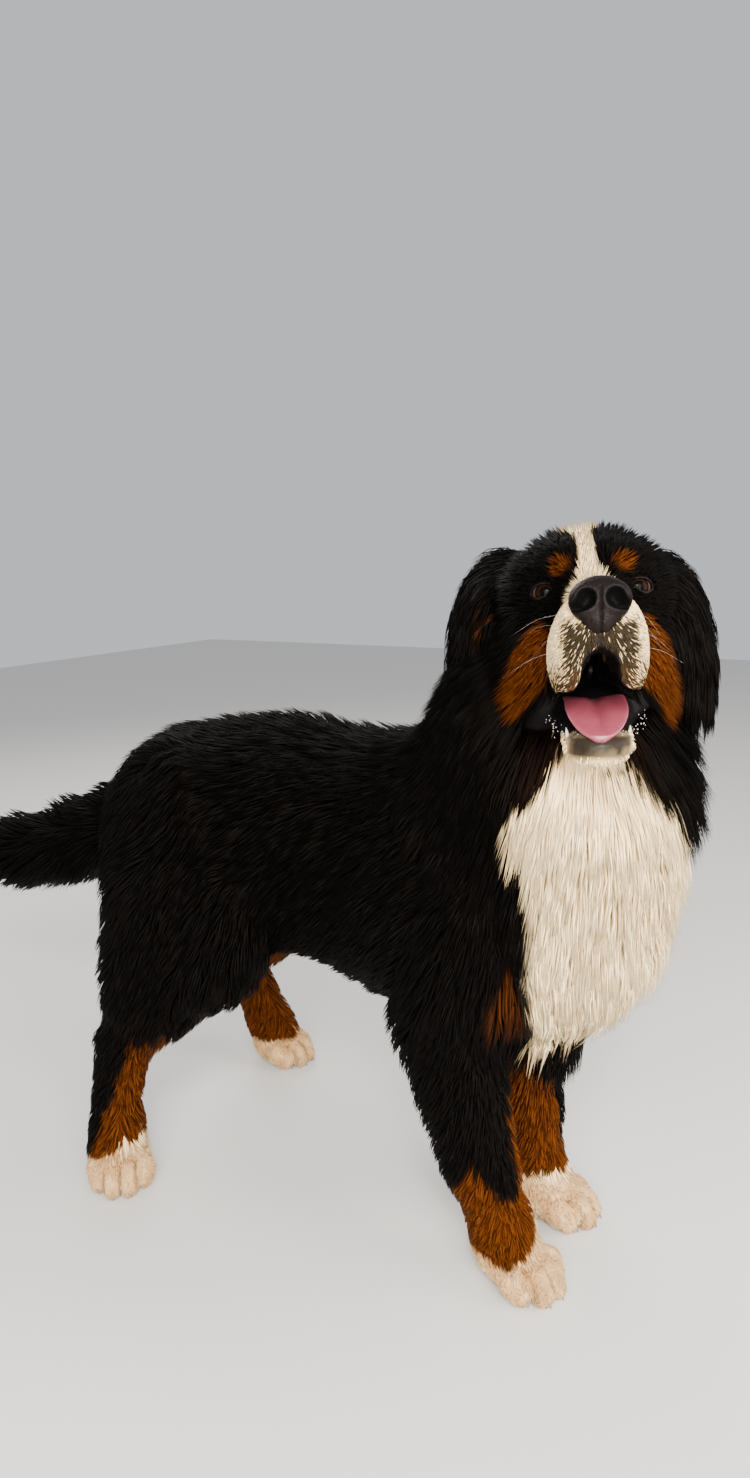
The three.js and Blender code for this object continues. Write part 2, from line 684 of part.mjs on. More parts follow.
for (const [name, leg] of Object.entries(LEGS)) {
  const { side, fore, hind } = leg;
  part(`forepaw_${name}`, WHITE, (grow) => paw(fore, side, grow));
  part(`hind_paw_${name}`, WHITE, (grow) => paw(hind, side, grow));

  const { stifle, hock } = hind;
  const ankle = hock[2] + 30; // height of the cut between the thigh and the hock
  const shankSpine = curve([hock[0] + 4, hock[1], ankle], hock, [hind.paw[0] - 18, hind.paw[1], 50]);
  part(`hock_${name}`, RUST, (grow) => {
    const surface = surfaceOf(`thigh_${name}`, 0.8);
    const whole = solidOf(wrap(surface, shankSpine, { rings: 6, sides: 10, facing: FORWARD, grow }));
    return whole.trimByPlane([0, 0, -1], -ankle - grow).trimByPlane([0, 0, 1], WRIST + GAP - grow);
  });

  const thighSpine = curve([-200, side * 84, 470], [stifle[0] - 30, stifle[1], 370], [hock[0] + 40, hock[1], 250], hock);
  const breeches = locksOn({
    owner: `thigh_${name}`,
    spine: curve([-200, side * 80, 540], [-205, side * 96, 410], [-230, side * 120, 300]),
    facing: FORWARD,
    rows: [0.08, 0.46, 0.84],
    angles: side > 0 ? [-110, 70, 4] : [110, 290, 4],
    lie: (p) => new THREE.Vector3(p.x < -230 ? -0.25 : -0.45, 0, -1),
    length: 165,
    width: 84,
    thick: 7,
  });
  part(`thigh_${name}`, BLACK, (grow) => {
    const surface = surfaceOf(`thigh_${name}`, CORE);
    const core = solidOf(wrap(surface, thighSpine, { rings: 9, sides: 12, facing: FORWARD, grow }));
    return union([core, ...breeches(grow)]).trimByPlane([0, 0, 1], ankle + GAP - grow);
  });

  const foreSpine = curve([240, side * 84, 450], fore.elbow, fore.carpus, [fore.paw[0] - 30, fore.paw[1], 46]);
  const feathers = locksOn({
    owner: `foreleg_${name}`,
    spine: curve([fore.elbow[0], fore.elbow[1], 400], [fore.carpus[0], fore.carpus[1], 150]),
    facing: FORWARD,
    rows: [0.06, 0.4, 0.74],
    angles: [-150, -30, 2],
    lie: () => new THREE.Vector3(-0.25, 0, -1),
    length: 120,
    width: 56,
    thick: 6,
  });
  part(`foreleg_${name}`, BLACK, (grow) => {
    const surface = surfaceOf(`foreleg_${name}`, 0.7);
    const core = solidOf(wrap(surface, foreSpine, { rings: 9, sides: 12, facing: FORWARD, grow }));
    return union([core, ...feathers(grow)]).trimByPlane([0, 0, 1], WRIST + GAP - grow);
  });
}

// The origin goes to the floor below the middle of the whole dog.
const middle = new THREE.Box3().setFromObject(dog, true).getCenter(new THREE.Vector3());
dog.position.set(-middle.x, -middle.y, 0);

export default dog;
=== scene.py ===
# A Bernese mountain dog, life size, standing with its head turned to its right and its mouth open:
# one skin, the coat over it in tufts, and the eyes, lids, nose, tongue, teeth, froth, claws and
# whiskers. The coat is mesh made by code, so that each tuft bends over the form that it lies on.
# Sizes below are in millimetres, in the frame the dog was set out in, and go through place() to
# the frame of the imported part.

import math

import bpy
import numpy as np
from mathutils import Matrix, Vector, kdtree


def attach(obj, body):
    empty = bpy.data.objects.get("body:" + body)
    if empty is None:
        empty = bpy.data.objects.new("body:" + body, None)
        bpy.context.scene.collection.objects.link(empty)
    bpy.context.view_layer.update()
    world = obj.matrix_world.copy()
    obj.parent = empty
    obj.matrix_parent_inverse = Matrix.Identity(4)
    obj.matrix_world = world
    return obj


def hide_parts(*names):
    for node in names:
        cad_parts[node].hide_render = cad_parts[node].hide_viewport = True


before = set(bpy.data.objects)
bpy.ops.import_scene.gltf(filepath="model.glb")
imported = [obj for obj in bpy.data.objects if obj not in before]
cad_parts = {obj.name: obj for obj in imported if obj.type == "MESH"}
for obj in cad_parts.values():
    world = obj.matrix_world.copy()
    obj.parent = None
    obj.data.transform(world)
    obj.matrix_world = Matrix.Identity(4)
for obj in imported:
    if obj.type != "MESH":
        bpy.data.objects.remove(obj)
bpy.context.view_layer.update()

# Driving dimensions
SHIFT = np.array([133.375, 3.113, 0.0])  # from the setting-out frame to the part's origin
BACK = 622
BRISKET = 324
CHEST_HALF = 112
LOIN_HALF = 100
SKULL = np.array([350.0, -60.0, 775.0])
SKULL_TURN, SKULL_LIFT, SKULL_ROLL = -63, 17, 2  # degrees
EYE = (66, 39.5, 15.5)
EYE_RADIUS = 12.5
EAR_ROOT = (-14, 70, 64)
EAR_LENGTH = 150
THIN = 1
BODY_BLEND, HEAD_BLEND = 26, 22  # how widely the body's parts, and head and body, run together
NEAR_HEAD = 240  # beyond this from the middle of the skull nothing belongs to the head
PAW_LIFT = 0.6  # how far the paws' skin stays above the floor
TUFT_LIFT = 3.0  # how far the middle of a tuft does
PATCH = 0.003  # how wide the patch of a tuft is on the unwrap

LEGS = {
    "right": {
        "side": -1,
        "fore": {"elbow": (212, -90, 372), "carpus": (243, -76, 140), "paw": (292, -69), "turn": 17},
        "hind": {"stifle": (-160, -114, 335), "hock": (-290, -156, 192),
                 "paw": (-272, -193), "turn": 46},
    },
    "left": {
        "side": 1,
        "fore": {"elbow": (204, 90, 372), "carpus": (228, 76, 140), "paw": (272, 69), "turn": 6},
        "hind": {"stifle": (-195, 114, 335), "hock": (-362, 164, 182),
                 "paw": (-302, 193), "turn": 4},
    },
}


def place(points):
    """Millimetres of the setting-out frame as metres of the part's frame."""
    return (np.asarray(points, float) + SHIFT) * 0.001


def turned(turn=0, lift=0, roll=0):
    """The matrix of a roll, then a lift of the nose, then a turn, in degrees."""
    return np.array(
        Matrix.Rotation(math.radians(turn), 3, "Z")
        @ Matrix.Rotation(math.radians(-lift), 3, "Y")
        @ Matrix.Rotation(math.radians(roll), 3, "X")
    )


SKULL_AXES = turned(SKULL_TURN, SKULL_LIFT, SKULL_ROLL)


def from_head(points):
    return np.asarray(points, float) @ SKULL_AXES.T + SKULL


def to_head(points):
    return (points - SKULL) @ SKULL_AXES


def smooth(low, high, value):
    t = np.clip((value - low) / (high - low), 0, 1)
    return t * t * (3 - 2 * t)


def unit(vectors):
    return vectors / np.maximum(np.linalg.norm(vectors, axis=-1, keepdims=True), 1e-9)


# Forms: round bodies that run softly into one another. Each has the depth of the coat over it, and
# its distance is asked at a share of that depth: 0 is the skin and 1 the tips of the hair.

FAR = 70.0  # beyond this from a form its distance is only estimated


class Form:
    def __call__(self, p, share):
        out = np.linalg.norm(p - self.middle, axis=1) - self.size - self.coat * share
        near = out < FAR
        if near.any():
            out[near] = self.exact(p[near], share)
        return out


class Egg(Form):
    """An ellipsoid, turned by degrees round Z and then dipped at its front."""

    def __init__(self, at, radii, coat=0, dip=0, turn=0):
        self.middle, self.radii, self.coat = np.array(at, float), np.array(radii, float), coat
        self.axes = turned(turn, -dip)
        self.size = max(radii)

    def exact(self, p, share):
        d = (p - self.middle) @ self.axes
        r = self.radii + self.coat * share
        k = np.linalg.norm(d / r, axis=1)
        slope = np.linalg.norm(d / (r * r), axis=1)
        return np.where(slope > 1e-9, k * (k - 1) / np.maximum(slope, 1e-9), -r.min())


class Limb(Form):
    """A limb between two balls."""

    def __init__(self, start, end, first, last, coat=0):
        self.start, self.along = np.array(start, float), np.subtract(end, start).astype(float)
        self.first, self.last, self.coat = first, last, coat
        self.middle = self.start + self.along / 2
        self.size = np.linalg.norm(self.along) / 2 + max(first, last)

    def exact(self, p, share):
        d = p - self.start
        t = np.clip(d @ self.along / (self.along @ self.along), 0, 1)
        off = np.linalg.norm(d - t[:, None] * self.along, axis=1)
        return off - (self.first + (self.last - self.first) * t + self.coat * share)


def blended(near, away, blend):
    mix = np.maximum(blend - np.abs(near - away), 0) / blend
    return np.minimum(near, away) - mix * mix * blend / 4


def joined(forms, blend):
    def field(p, share):
        near = forms[0](p, share)
        for form in forms[1:]:
            near = blended(near, form(p, share), blend)
        return near

    return field


def both(make):
    return [make(-1), make(1)]


chest_middle = (BACK + BRISKET) / 2
TORSO = [
    Egg((150, 0, chest_middle), (185, CHEST_HALF, (BACK - BRISKET) / 2), 36),
    Egg((-75, 0, 489), (190, LOIN_HALF, 135), 34),
    Egg((-238, 0, 494), (132, 102, 106), 32),
    Egg((292, 2, 470), (80, 90, 116), 66),
    *both(lambda s: Egg((205, s * 74, 485), (78, 50, 118), 28)),
]
NECK = [
    Limb((226, -8, 552), (298, -26, 664), 100, 82, 42),
    Limb((298, -26, 664), (322, -30, 724), 82, 66, 36),
    Egg((336, -22, 585), (64, 78, 108), 66),
]
TAIL_SPINE = [
    (-300, 0, 520), (-400, -22, 462), (-500, -50, 426), (-600, -78, 404), (-690, -92, 402)
]
TAIL_GIRTH = [(46, 34, 20), (32, 24, 44), (22, 16, 54), (14, 8, 34)]  # two radii and the coat
TAIL = [Limb(a, b, *girth) for a, b, girth in zip(TAIL_SPINE, TAIL_SPINE[1:], TAIL_GIRTH)]


def fore_forms(side, elbow, carpus, paw, **_):
    behind = (elbow[0] - 34, elbow[1], elbow[2] - 40)
    return [
        Limb((246, side * 84, 470), elbow, 64, 52, 22),
        Limb(elbow, carpus, 46, 33, 10),
        Limb(behind, (carpus[0] - 16, carpus[1], carpus[2] + 20), 32, 22, 26),
        Limb(carpus, (paw[0] - 30, paw[1], 52), 33, 31, 6),
    ]


def hind_forms(side, stifle, hock, paw, **_):
    return [
        Egg((-214, side * 86, 452), (120, 58, 146), 26),
        Limb((-105, side * 92, 430), (stifle[0] + 14, stifle[1], stifle[2] + 6), 52, 56, 26),
        Limb((-210, side * 104, 410), (hock[0] + 48, hock[1] * 0.86, hock[2] + 92), 84, 54, 26),
        Limb(stifle, (hock[0] + 12, hock[1], hock[2] + 14), 54, 32, 14),
        Limb(hock, (paw[0] - 16, paw[1], 56), 31, 28, 9),
    ]


# A paw in its own frame: +X along the middle toes and the origin on the floor below them
TOES = [(-29, 16, 15.5), (-10, 32, 17), (10, 32, 17), (29, 16, 15.5)]  # each toe's y, x and radius


def toe_grooves(p):
    """1 along the three lines between the toes of a paw, in its own frame."""
    lines = np.min([np.abs(p[:, 1] - y * (0.82 + 0.006 * p[:, 0])) for y in (-21, 0, 21)], axis=0)
    return np.exp(-((lines / 2.0) ** 2)) * smooth(-12, 6, p[:, 0]) * smooth(46, 34, p[:, 2])


def paw_field():
    wrist, sole = Limb((-34, 0, 70), (-20, 0, 34), 28, 30, 6), Egg((-8, 0, 26), (40, 34, 24), 4)
    instep = joined([wrist, sole], 16)
    toes = []
    for y, x, r in TOES:
        back, knuckle, front = (x - 22, y * 0.85, 28), (x - 4, y, 24), (x + 6, y, 15)
        bones = [Limb(back, knuckle, r - 2, r, 3), Limb(knuckle, front, r, r - 3, 3)]
        toes.append(joined(bones, 6))

    def field(p, share):
        near = instep(p, share)
        for toe in toes:
            near = blended(near, toe(p, share), 3.5)
        near = near + 4.5 * toe_grooves(p) * (1 - 0.5 * share)
        return np.maximum(near, PAW_LIFT - p[:, 2])

    return field


PAW = paw_field()


def paw_frames():
    for name, leg in LEGS.items():
        for pair in ("fore", "hind"):
            at = np.array([*leg[pair]["paw"], 0.0])
            yield f"{pair}paw_{name}", at, turned(leg["side"] * leg[pair]["turn"])


def paws(p, share):
    near = np.full(len(p), 999.0)
    for _, at, axes in paw_frames():
        local = (p - at) @ axes
        close = (np.abs(local) < 150).all(axis=1)
        if close.any():
            near[close] = np.minimum(near[close], PAW(local[close], share))
    return near


GROUPS = {
    "torso": joined(TORSO, 60),
    "neck": joined(NECK, 50),
    "tail": joined(TAIL, 26),
    "paws": paws,
}
for leg_name, leg in LEGS.items():
    GROUPS[f"thigh_{leg_name}"] = joined(hind_forms(leg["side"], **leg["hind"]), 24)
    GROUPS[f"foreleg_{leg_name}"] = joined(fore_forms(leg["side"], **leg["fore"]), 20)

# The head's forms, in its own frame: +X to the nose and +Z to the crown
HEAD = [
    Egg((-8, 0, 16), (92, 72, 60), 16),
    Egg((44, 0, 22), (42, 48, 36), 8),
    *both(lambda s: Egg((60, s * 27, 38), (18, 17, 13), 5)),
    Limb((60, 0, 0), (146, 0, -16), 27, 19, 3),
    *both(lambda s: Egg((116, s * 24, -52), (46, 16, 36), 3, 6)),
    *both(lambda s: Egg((146, s * 12, -36), (18, 17, 22), 2)),
    *both(lambda s: Egg((14, s * 42, -32), (54, 27, 44), 12)),
    *both(lambda s: Egg((-14, s * 34, -62), (46, 30, 36), 18)),
    Egg((-66, 0, 2), (44, 56, 56), 22),
]
MOUTH = [
    Egg((84, 0, -84), (72, 31, 27), 0, 20),
    Egg((118, 0, -98), (52, 34, 24), 0, 24),
    Egg((142, 0, -71), (42, 13, 18)),
]
JAW = [
    Egg((66, 0, -106), (70, 32, 16), 3, 28),
    Egg((112, 0, -128), (20, 28, 13), 4, 20),
    Egg((6, 0, -88), (44, 42, 30), 16),
]
skull_field, mouth_field, jaw_field = joined(HEAD, 18), joined(MOUTH, 12), joined(JAW, 14)


def eye_axes(side):
    """The socket's own axes: outwards from the head, along the lids to the ear, and up."""
    look = unit(np.array([0.92, side * 0.34, 0.04]))
    out = unit(np.cross([0, 0, 1], look)) * side
    return look, out, np.cross(look, out) * side


def eye_frame(p, side):
    d = p - np.array([EYE[0], side * EYE[1], EYE[2]])
    look, out, up = eye_axes(side)
    return d @ look, d @ out, d @ up


def eye_opening(b, c):
    """How far outside the almond between the lids a point is."""
    slant = c + 0.12 * b
    arch = np.sqrt(np.maximum(1 - ((b - 0.5) / 11.0) ** 2, 0))
    lids = np.maximum(slant - 5.8 * arch + 0.4, -5.6 * arch**2 - slant)
    return np.maximum(lids, np.abs(b - 0.5) - 10.5)


def rim_field(p, side):
    """The bare rim of the lids: a narrow shell over the ball along its opening."""
    a, b, c = eye_frame(p, side)
    shell = np.abs(np.sqrt(a * a + b * b + c * c) - (EYE_RADIUS + 1.5)) - 1.2
    opening = eye_opening(b, c)
    return np.maximum(np.maximum(shell, 0.4 - opening), np.maximum(opening - 2.6, -a))


def head_field(p, share, details=True):
    """The head in its own frame, with the open mouth, the lower jaw and the lids."""
    near = skull_field(p, share)
    if details:
        brow = np.minimum(*[np.linalg.norm(p - (88, s * 20, 34), axis=1) for s in (-1, 1)])
        near = near - 1.5 * np.exp(-((brow / 14) ** 2))
        furrow = np.exp(-((p[:, 1] / 6) ** 2)) * smooth(30, 60, p[:, 0]) * smooth(120, 90, p[:, 0])
        near = near + 1.6 * furrow * (p[:, 2] > 0)
        philtrum = np.exp(-((p[:, 1] / 2.2) ** 2)) * smooth(140, 155, p[:, 0])
        near = near + 1.4 * philtrum
        for side in (-1, 1):
            a, b, c = eye_frame(p, side)
            ball = np.sqrt(a * a + b * b + c * c)
            near = blended(near, np.where(a > -6, ball - EYE_RADIUS - 3.2 - 1.8 * share, 99), 9)
            tunnel = np.maximum(eye_opening(b, c) - 1.6, -a)
            near = -blended(-near, np.minimum(ball - EYE_RADIUS - 1.2, tunnel), 1.5)
    near = -blended(-near, mouth_field(p, 0), 5)
    jaw = jaw_field(p, share)
    if details:
        trough = Egg((92, 0, -104), (46, 22, 12), 0, 26)(p, 0)
        jaw = -blended(-jaw, trough, 5)
    return blended(near, jaw, 7)


def body_field(p, share):
    near = None
    for field in GROUPS.values():
        away = field(p, share)
        near = away if near is None else blended(near, away, BODY_BLEND)
    return near


def whole_field(p, share):
    """The whole dog but for its ears."""
    near = body_field(p, share)
    local = to_head(p)
    close = np.linalg.norm(local, axis=1) < 330
    if close.any():
        head = head_field(local[close], share, details=False)
        near[close] = blended(near[close], head, HEAD_BLEND)
    return near


# A field on a lattice, read between its points

class Lattice:
    def __init__(self, field, low, high, step):
        self.low, self.step = np.array(low, float), step
        self.count = np.ceil((np.array(high) - self.low) / step).astype(int) + 1
        self.values = field(self.points()).reshape(self.count)

    def points(self):
        axes = [self.low[i] + self.step * np.arange(self.count[i]) for i in range(3)]
        return np.stack(np.meshgrid(*axes, indexing="ij"), -1).reshape(-1, 3)

    def read(self, p):
        q = np.clip((p - self.low) / self.step, 0, self.count - 1.001)
        i = q.astype(int)
        f = q - i
        out = 0
        for corner in range(8):
            c = [(corner >> axis) & 1 for axis in range(3)]
            weight = np.prod([f[:, a] if c[a] else 1 - f[:, a] for a in range(3)], axis=0)
            out = out + weight * self.values[i[:, 0] + c[0], i[:, 1] + c[1], i[:, 2] + c[2]]
        return out

    def slope(self, p, by=4.0):
        steps = np.eye(3) * by
        return unit(np.stack([self.read(p + s) - self.read(p - s) for s in steps], 1))


MOST_AT_ONCE = 400000  # lattice points that a field is asked for at a time


def surface(field, low, high, step, share=0.0, coarse=4):
    """The zero surface of a field as points and quads, exact near the surface only."""
    low = np.array(low, float)
    wide = step * coarse
    rough = Lattice(lambda p: field(p, share), low, np.array(high) + wide, wide)
    cells = rough.count - 1
    corners = np.stack([rough.values[a : a + cells[0], b : b + cells[1], c : c + cells[2]]
                        for a in (0, 1) for b in (0, 1) for c in (0, 1)])
    near = np.abs(corners).min(0) < wide * 1.3
    near |= (corners.min(0) < 0) & (corners.max(0) > 0)
    values = np.where(corners.mean(0) < 0, -99.0, 99.0)
    for axis in range(3):
        values, near = np.repeat(values, coarse, axis), np.repeat(near, coarse, axis)
    spots = np.argwhere(near)
    for part in np.array_split(np.arange(len(spots)), max(1, len(spots) // MOST_AT_ONCE)):
        s = spots[part]
        values[s[:, 0], s[:, 1], s[:, 2]] = field(low + s * step, share)
    return nets(values, low, step)


def nets(values, low, step):
    """A point in each cell that the surface crosses, and a quad round each crossed edge."""
    inside = values < 0
    n = np.array(values.shape) - 1
    total = np.zeros((*n, 3), np.float32)
    hits = np.zeros(n, np.int16)
    for axis in range(3):
        a = np.moveaxis(values, axis, 0)
        b0, b1 = a[:-1], a[1:]
        crossed = (b0 < 0) != (b1 < 0)
        t = np.where(crossed, b0 / np.where(crossed, b0 - b1, 1), 0)
        crossed, t = np.moveaxis(crossed, 0, axis), np.moveaxis(t, 0, axis)
        others = [k for k in range(3) if k != axis]
        for u in (0, 1):
            for v in (0, 1):
                cut = [slice(None)] * 3
                cut[others[0]] = slice(u, u + n[others[0]])
                cut[others[1]] = slice(v, v + n[others[1]])
                c, s = crossed[tuple(cut)], t[tuple(cut)]
                hits += c
                total[..., axis] += np.where(c, s, 0)
                total[..., others[0]] += c * u
                total[..., others[1]] += c * v
    used = hits > 0
    index = np.full(n, -1, np.int64)
    index[used] = np.arange(used.sum())
    spots = np.argwhere(used)
    points = low + (spots + total[used] / hits[used][:, None]) * step
    quads = []
    for axis in range(3):
        others = [k for k in range(3) if k != axis]
        a = np.moveaxis(inside, axis, 0)
        change = np.moveaxis(a[:-1] != a[1:], 0, axis)
        start = np.moveaxis(a[:-1], 0, axis)
        cut = [slice(None)] * 3
        for k in others:
            cut[k] = slice(1, n[k])
        where = np.argwhere(change[tuple(cut)])
        where[:, others] += 1
        flip = start[where[:, 0], where[:, 1], where[:, 2]]
        if axis == 1:
            flip = ~flip
        ring = []
        for u, v in ((1, 1), (0, 1), (0, 0), (1, 0)):
            c = where.copy()
            c[:, others[0]] -= u
            c[:, others[1]] -= v
            ring.append(index[c[:, 0], c[:, 1], c[:, 2]])
        quad = np.stack(ring, 1)
        quad[~flip] = quad[~flip][:, ::-1]
        quads.append(quad)
    quads = np.concatenate(quads)
    return points, quads[(quads >= 0).all(1)]


def kept(points, faces, keep):
    """The faces whose middles are kept, with the points they use."""
    faces = faces[keep(points[faces].mean(1))]
    used, inverse = np.unique(faces, return_inverse=True)
    return points[used], inverse.reshape(faces.shape)


def merged(*meshes):
    points, faces, base = [], [], 0
    for p, f in meshes:
        points.append(p)
        faces.append(f + base)
        base += len(p)
    return np.concatenate(points), np.concatenate(faces)


# Straps: closed skins round a spine, for the ears, the tongue, teeth, claws and whiskers

def along_curve(knots, count):
    """Points spread evenly in parameter on a Catmull-Rom curve through the knots."""
    k = np.array(knots, float)
    k = np.vstack([2 * k[0] - k[1], k, 2 * k[-1] - k[-2]])
    t = np.linspace(0, len(k) - 3.0001, count)
    i = t.astype(int)
    f = (t - i)[:, None]
    a, b, c, d = k[i], k[i + 1], k[i + 2], k[i + 3]
    bend, twist = 2 * a - 5 * b + 4 * c - d, 3 * b - a - 3 * c + d
    return 0.5 * (2 * b + (c - a) * f + bend * f**2 + twist * f**3)


def strap(knots, rings, sides, facing, width, thick, cup=lambda t: 0 * t, crease=None):
    """A flat or round strap along a curve, its half width and half thickness functions of the way
    along it. The cup bends both its edges away from the side it faces."""
    spine = along_curve(knots, rings)
    t = np.linspace(0, 1, rings)
    along = unit(np.gradient(spine, axis=0))
    across = unit(np.cross(along, facing))
    out = np.cross(across, along)
    angle = (np.arange(sides) + 0.5) / sides * 2 * np.pi
    lateral, height = np.cos(angle), np.sin(angle)
    w, h = width(t)[:, None], thick(t)[:, None]
    rise = height * h - lateral**2 * cup(t)[:, None]
    if crease is not None:
        rise = rise + crease(t[:, None], lateral[None, :], height[None, :])
    rows = spine[:, None] + across[:, None] * (lateral * w)[..., None]
    rows = rows + out[:, None] * rise[..., None]
    points = np.vstack([rows.reshape(-1, 3), spine[:1], spine[-1:]])
    row, side = np.meshgrid(np.arange(rings - 1), np.arange(sides), indexing="ij")
    row, side = row.ravel(), side.ravel()
    ahead = (side + 1) % sides
    here, above = row * sides, (row + 1) * sides
    quads = np.stack([here + side, here + ahead, above + ahead, above + side], 1)
    ring = np.arange(sides)
    after = (ring + 1) % sides
    first, last = len(points) - 2, len(points) - 1
    base = (rings - 1) * sides
    caps = np.concatenate([
        np.stack([np.full(sides, first), after, ring, ring], 1),
        np.stack([np.full(sides, last), base + ring, base + after, base + after], 1),
    ])
    faces = np.concatenate([quads, caps])
    a, b, c, d = (points[faces[:, k]] - points[0] for k in range(4))
    inside_out = (np.cross(a, b) * c + np.cross(a, c) * d).sum() < 0
    return points, faces[:, ::-1] if inside_out else faces


def ear_knots(side):
    x, y, z = EAR_ROOT
    out, up = (7, 8) if side < 0 else (0, 0)
    return [
        (x, side * (y - 20), z - 12),
        (x - 8, side * (y + 20 + out), z - 20 + up),
        (x - 26, side * (y + 43 + out), z - 70 + up * 0.5),
        (x - 42, side * (y + 50 + out * 0.5), z - EAR_LENGTH + 20),
    ]


def ear_strap(side):
    facing = unit(np.array([0.58, side * 0.76, 0.3]))
    leaf = lambda t: np.sin(np.pi * np.minimum(1, t * 0.86 + 0.1)) ** 0.8
    flare = lambda t: 13 + 34 * leaf(t) * (1 - 0.2 * t)
    thick = lambda t: (4.5 - 2.5 * t + 5 * np.exp(-((t / 0.14) ** 2))) * np.sqrt(1.02 - t**8)
    cup = lambda t: 17 * (1 - 0.6 * t)
    points, faces = strap(ear_knots(side), 34, 24, facing, flare, thick, cup)
    return from_head(points), faces


# Meshes and objects

def mesh_object(name, points, faces, tone=None):
    """A smooth mesh object from points and quads; a quad that repeats a point at its start or its
    end is a triangle. Tone holds a value for each point under each attribute's name."""
    where = place(points)
    faces = np.array(faces, np.int32)
    doubled = faces[:, 0] == faces[:, 1]
    faces[doubled] = faces[doubled][:, [1, 2, 3, 3]]
    sizes = np.where(faces[:, 2] == faces[:, 3], 3, 4)
    loops = faces[np.arange(faces.shape[1])[None, :] < sizes[:, None]]
    mesh = bpy.data.meshes.new(name)
    mesh.vertices.add(len(where))
    mesh.vertices.foreach_set("co", where.astype(np.float32).ravel())
    mesh.loops.add(len(loops))
    mesh.loops.foreach_set("vertex_index", loops.astype(np.int32))
    mesh.polygons.add(len(faces))
    starts = np.concatenate([[0], np.cumsum(sizes)[:-1]])
    mesh.polygons.foreach_set("loop_start", starts.astype(np.int32))
    mesh.update(calc_edges=True)
    mesh.polygons.foreach_set("use_smooth", np.ones(len(faces), bool))
    for key, values in (tone or {}).items():
        layer = mesh.attributes.new(key, "FLOAT", "POINT")
        layer.data.foreach_set("value", np.asarray(values, np.float32))
    mesh.update()
    piece = bpy.data.objects.new(name, mesh)
    bpy.context.scene.collection.objects.link(piece)
    return piece


# Markings: how white and how rust the coat is at a point, the rest being black

SCATTER = (374761393, 668265263, 2147483647)  # large odd numbers that scatter the noise's values


def lattice_noise(p, size, seed=0):
    """Smooth noise between -1 and 1 with lumps of about the size given."""
    q = np.asarray(p, float) / size + seed * 17.13
    i = np.floor(q).astype(np.int64)
    f = q - i
    f = f * f * (3 - 2 * f)
    out = 0
    for corner in range(8):
        c = [(corner >> a) & 1 for a in range(3)]
        h = ((i + c) * SCATTER).sum(1) + seed * 974634777
        h = (h ^ (h >> 13)) * 1274126177
        value = ((h ^ (h >> 16)) & 0xFFFF) / 32767.5 - 1
        weight = np.prod([f[:, a] if c[a] else 1 - f[:, a] for a in range(3)], axis=0)
        out = out + weight * value
    return out


def blot(p, at, radii, soft=4.0):
    """1 inside an ellipsoid and 0 outside it, with a soft edge in millimetres."""
    d = (p - np.array(at)) / np.array(radii)
    k = np.linalg.norm(d, axis=1)
    return smooth(soft, -soft, (k - 1) * min(radii))


# The bib, by height: the way its middle faces and half its width, in degrees round the chest
BIB_Z = (292, 337, 384, 432, 469, 499, 525, 566, 592, 609, 621, 641, 660)
BIB_MIDDLE = (-26, -8, -4, -4, -2, -6, -18, -44, -46, -50, -50, -50, -50)
BIB_HALF = (5, 26, 40, 42, 42, 43, 43, 41, 37, 32, 24, 11, 7)


def fore_markings(x, y, z, leg):
    """White and rust on a foreleg: a white foot, rust above it and up the inner side."""
    side = leg["side"]
    (cx, cy, cz), (px, py) = leg["fore"]["carpus"], leg["fore"]["paw"]
    t = np.clip((cz - z) / cz, -1, 1)
    mx = cx + (px - 30 - cx) * np.maximum(t, 0) + 10 * np.minimum(t, 0)
    my = cy + (py - cy) * t
    around = np.degrees(np.arctan2((y - my) * side, x - mx))
    peak = np.exp(-(((around - 80) / 34) ** 2))
    top = 116 + 42 * peak if side < 0 else 107 + 30 * peak
    top = top + (236 - top) * smooth(-2, -16, around) * smooth(-178, -160, around)
    sock = 57 + 0.5 * (y + 75) if side < 0 else 66 + 0.1 * (76 - y)
    return smooth(3, -3, z - sock), smooth(6, -6, z - top)


def hind_markings(x, y, z, leg):
    """White and rust on a hind leg: a white foot, rust in front of it, black down its back."""
    side = leg["side"]
    (hx, hy, hz), (px, py) = leg["hind"]["hock"], leg["hind"]["paw"]
    t = np.clip((hz - z) / hz, 0, 1)
    facing = (x - hx - (px - 16 - hx) * t) * 0.78 - (y - hy - (py - hy) * t) * side * 0.35
    rust = smooth(-5, 5, facing - (0.28 * z - 33)) * smooth(226, 202, z)
    inner = smooth(-6, 6, (hy + (py - hy) * t - y) * side + 6 - 0.16 * z) * smooth(330, 300, z)
    white = smooth(3, -3, z - 48 - 0.45 * (x - px + 16) * (side < 0))
    return white, np.maximum(rust, inner * (x > hx - 10))


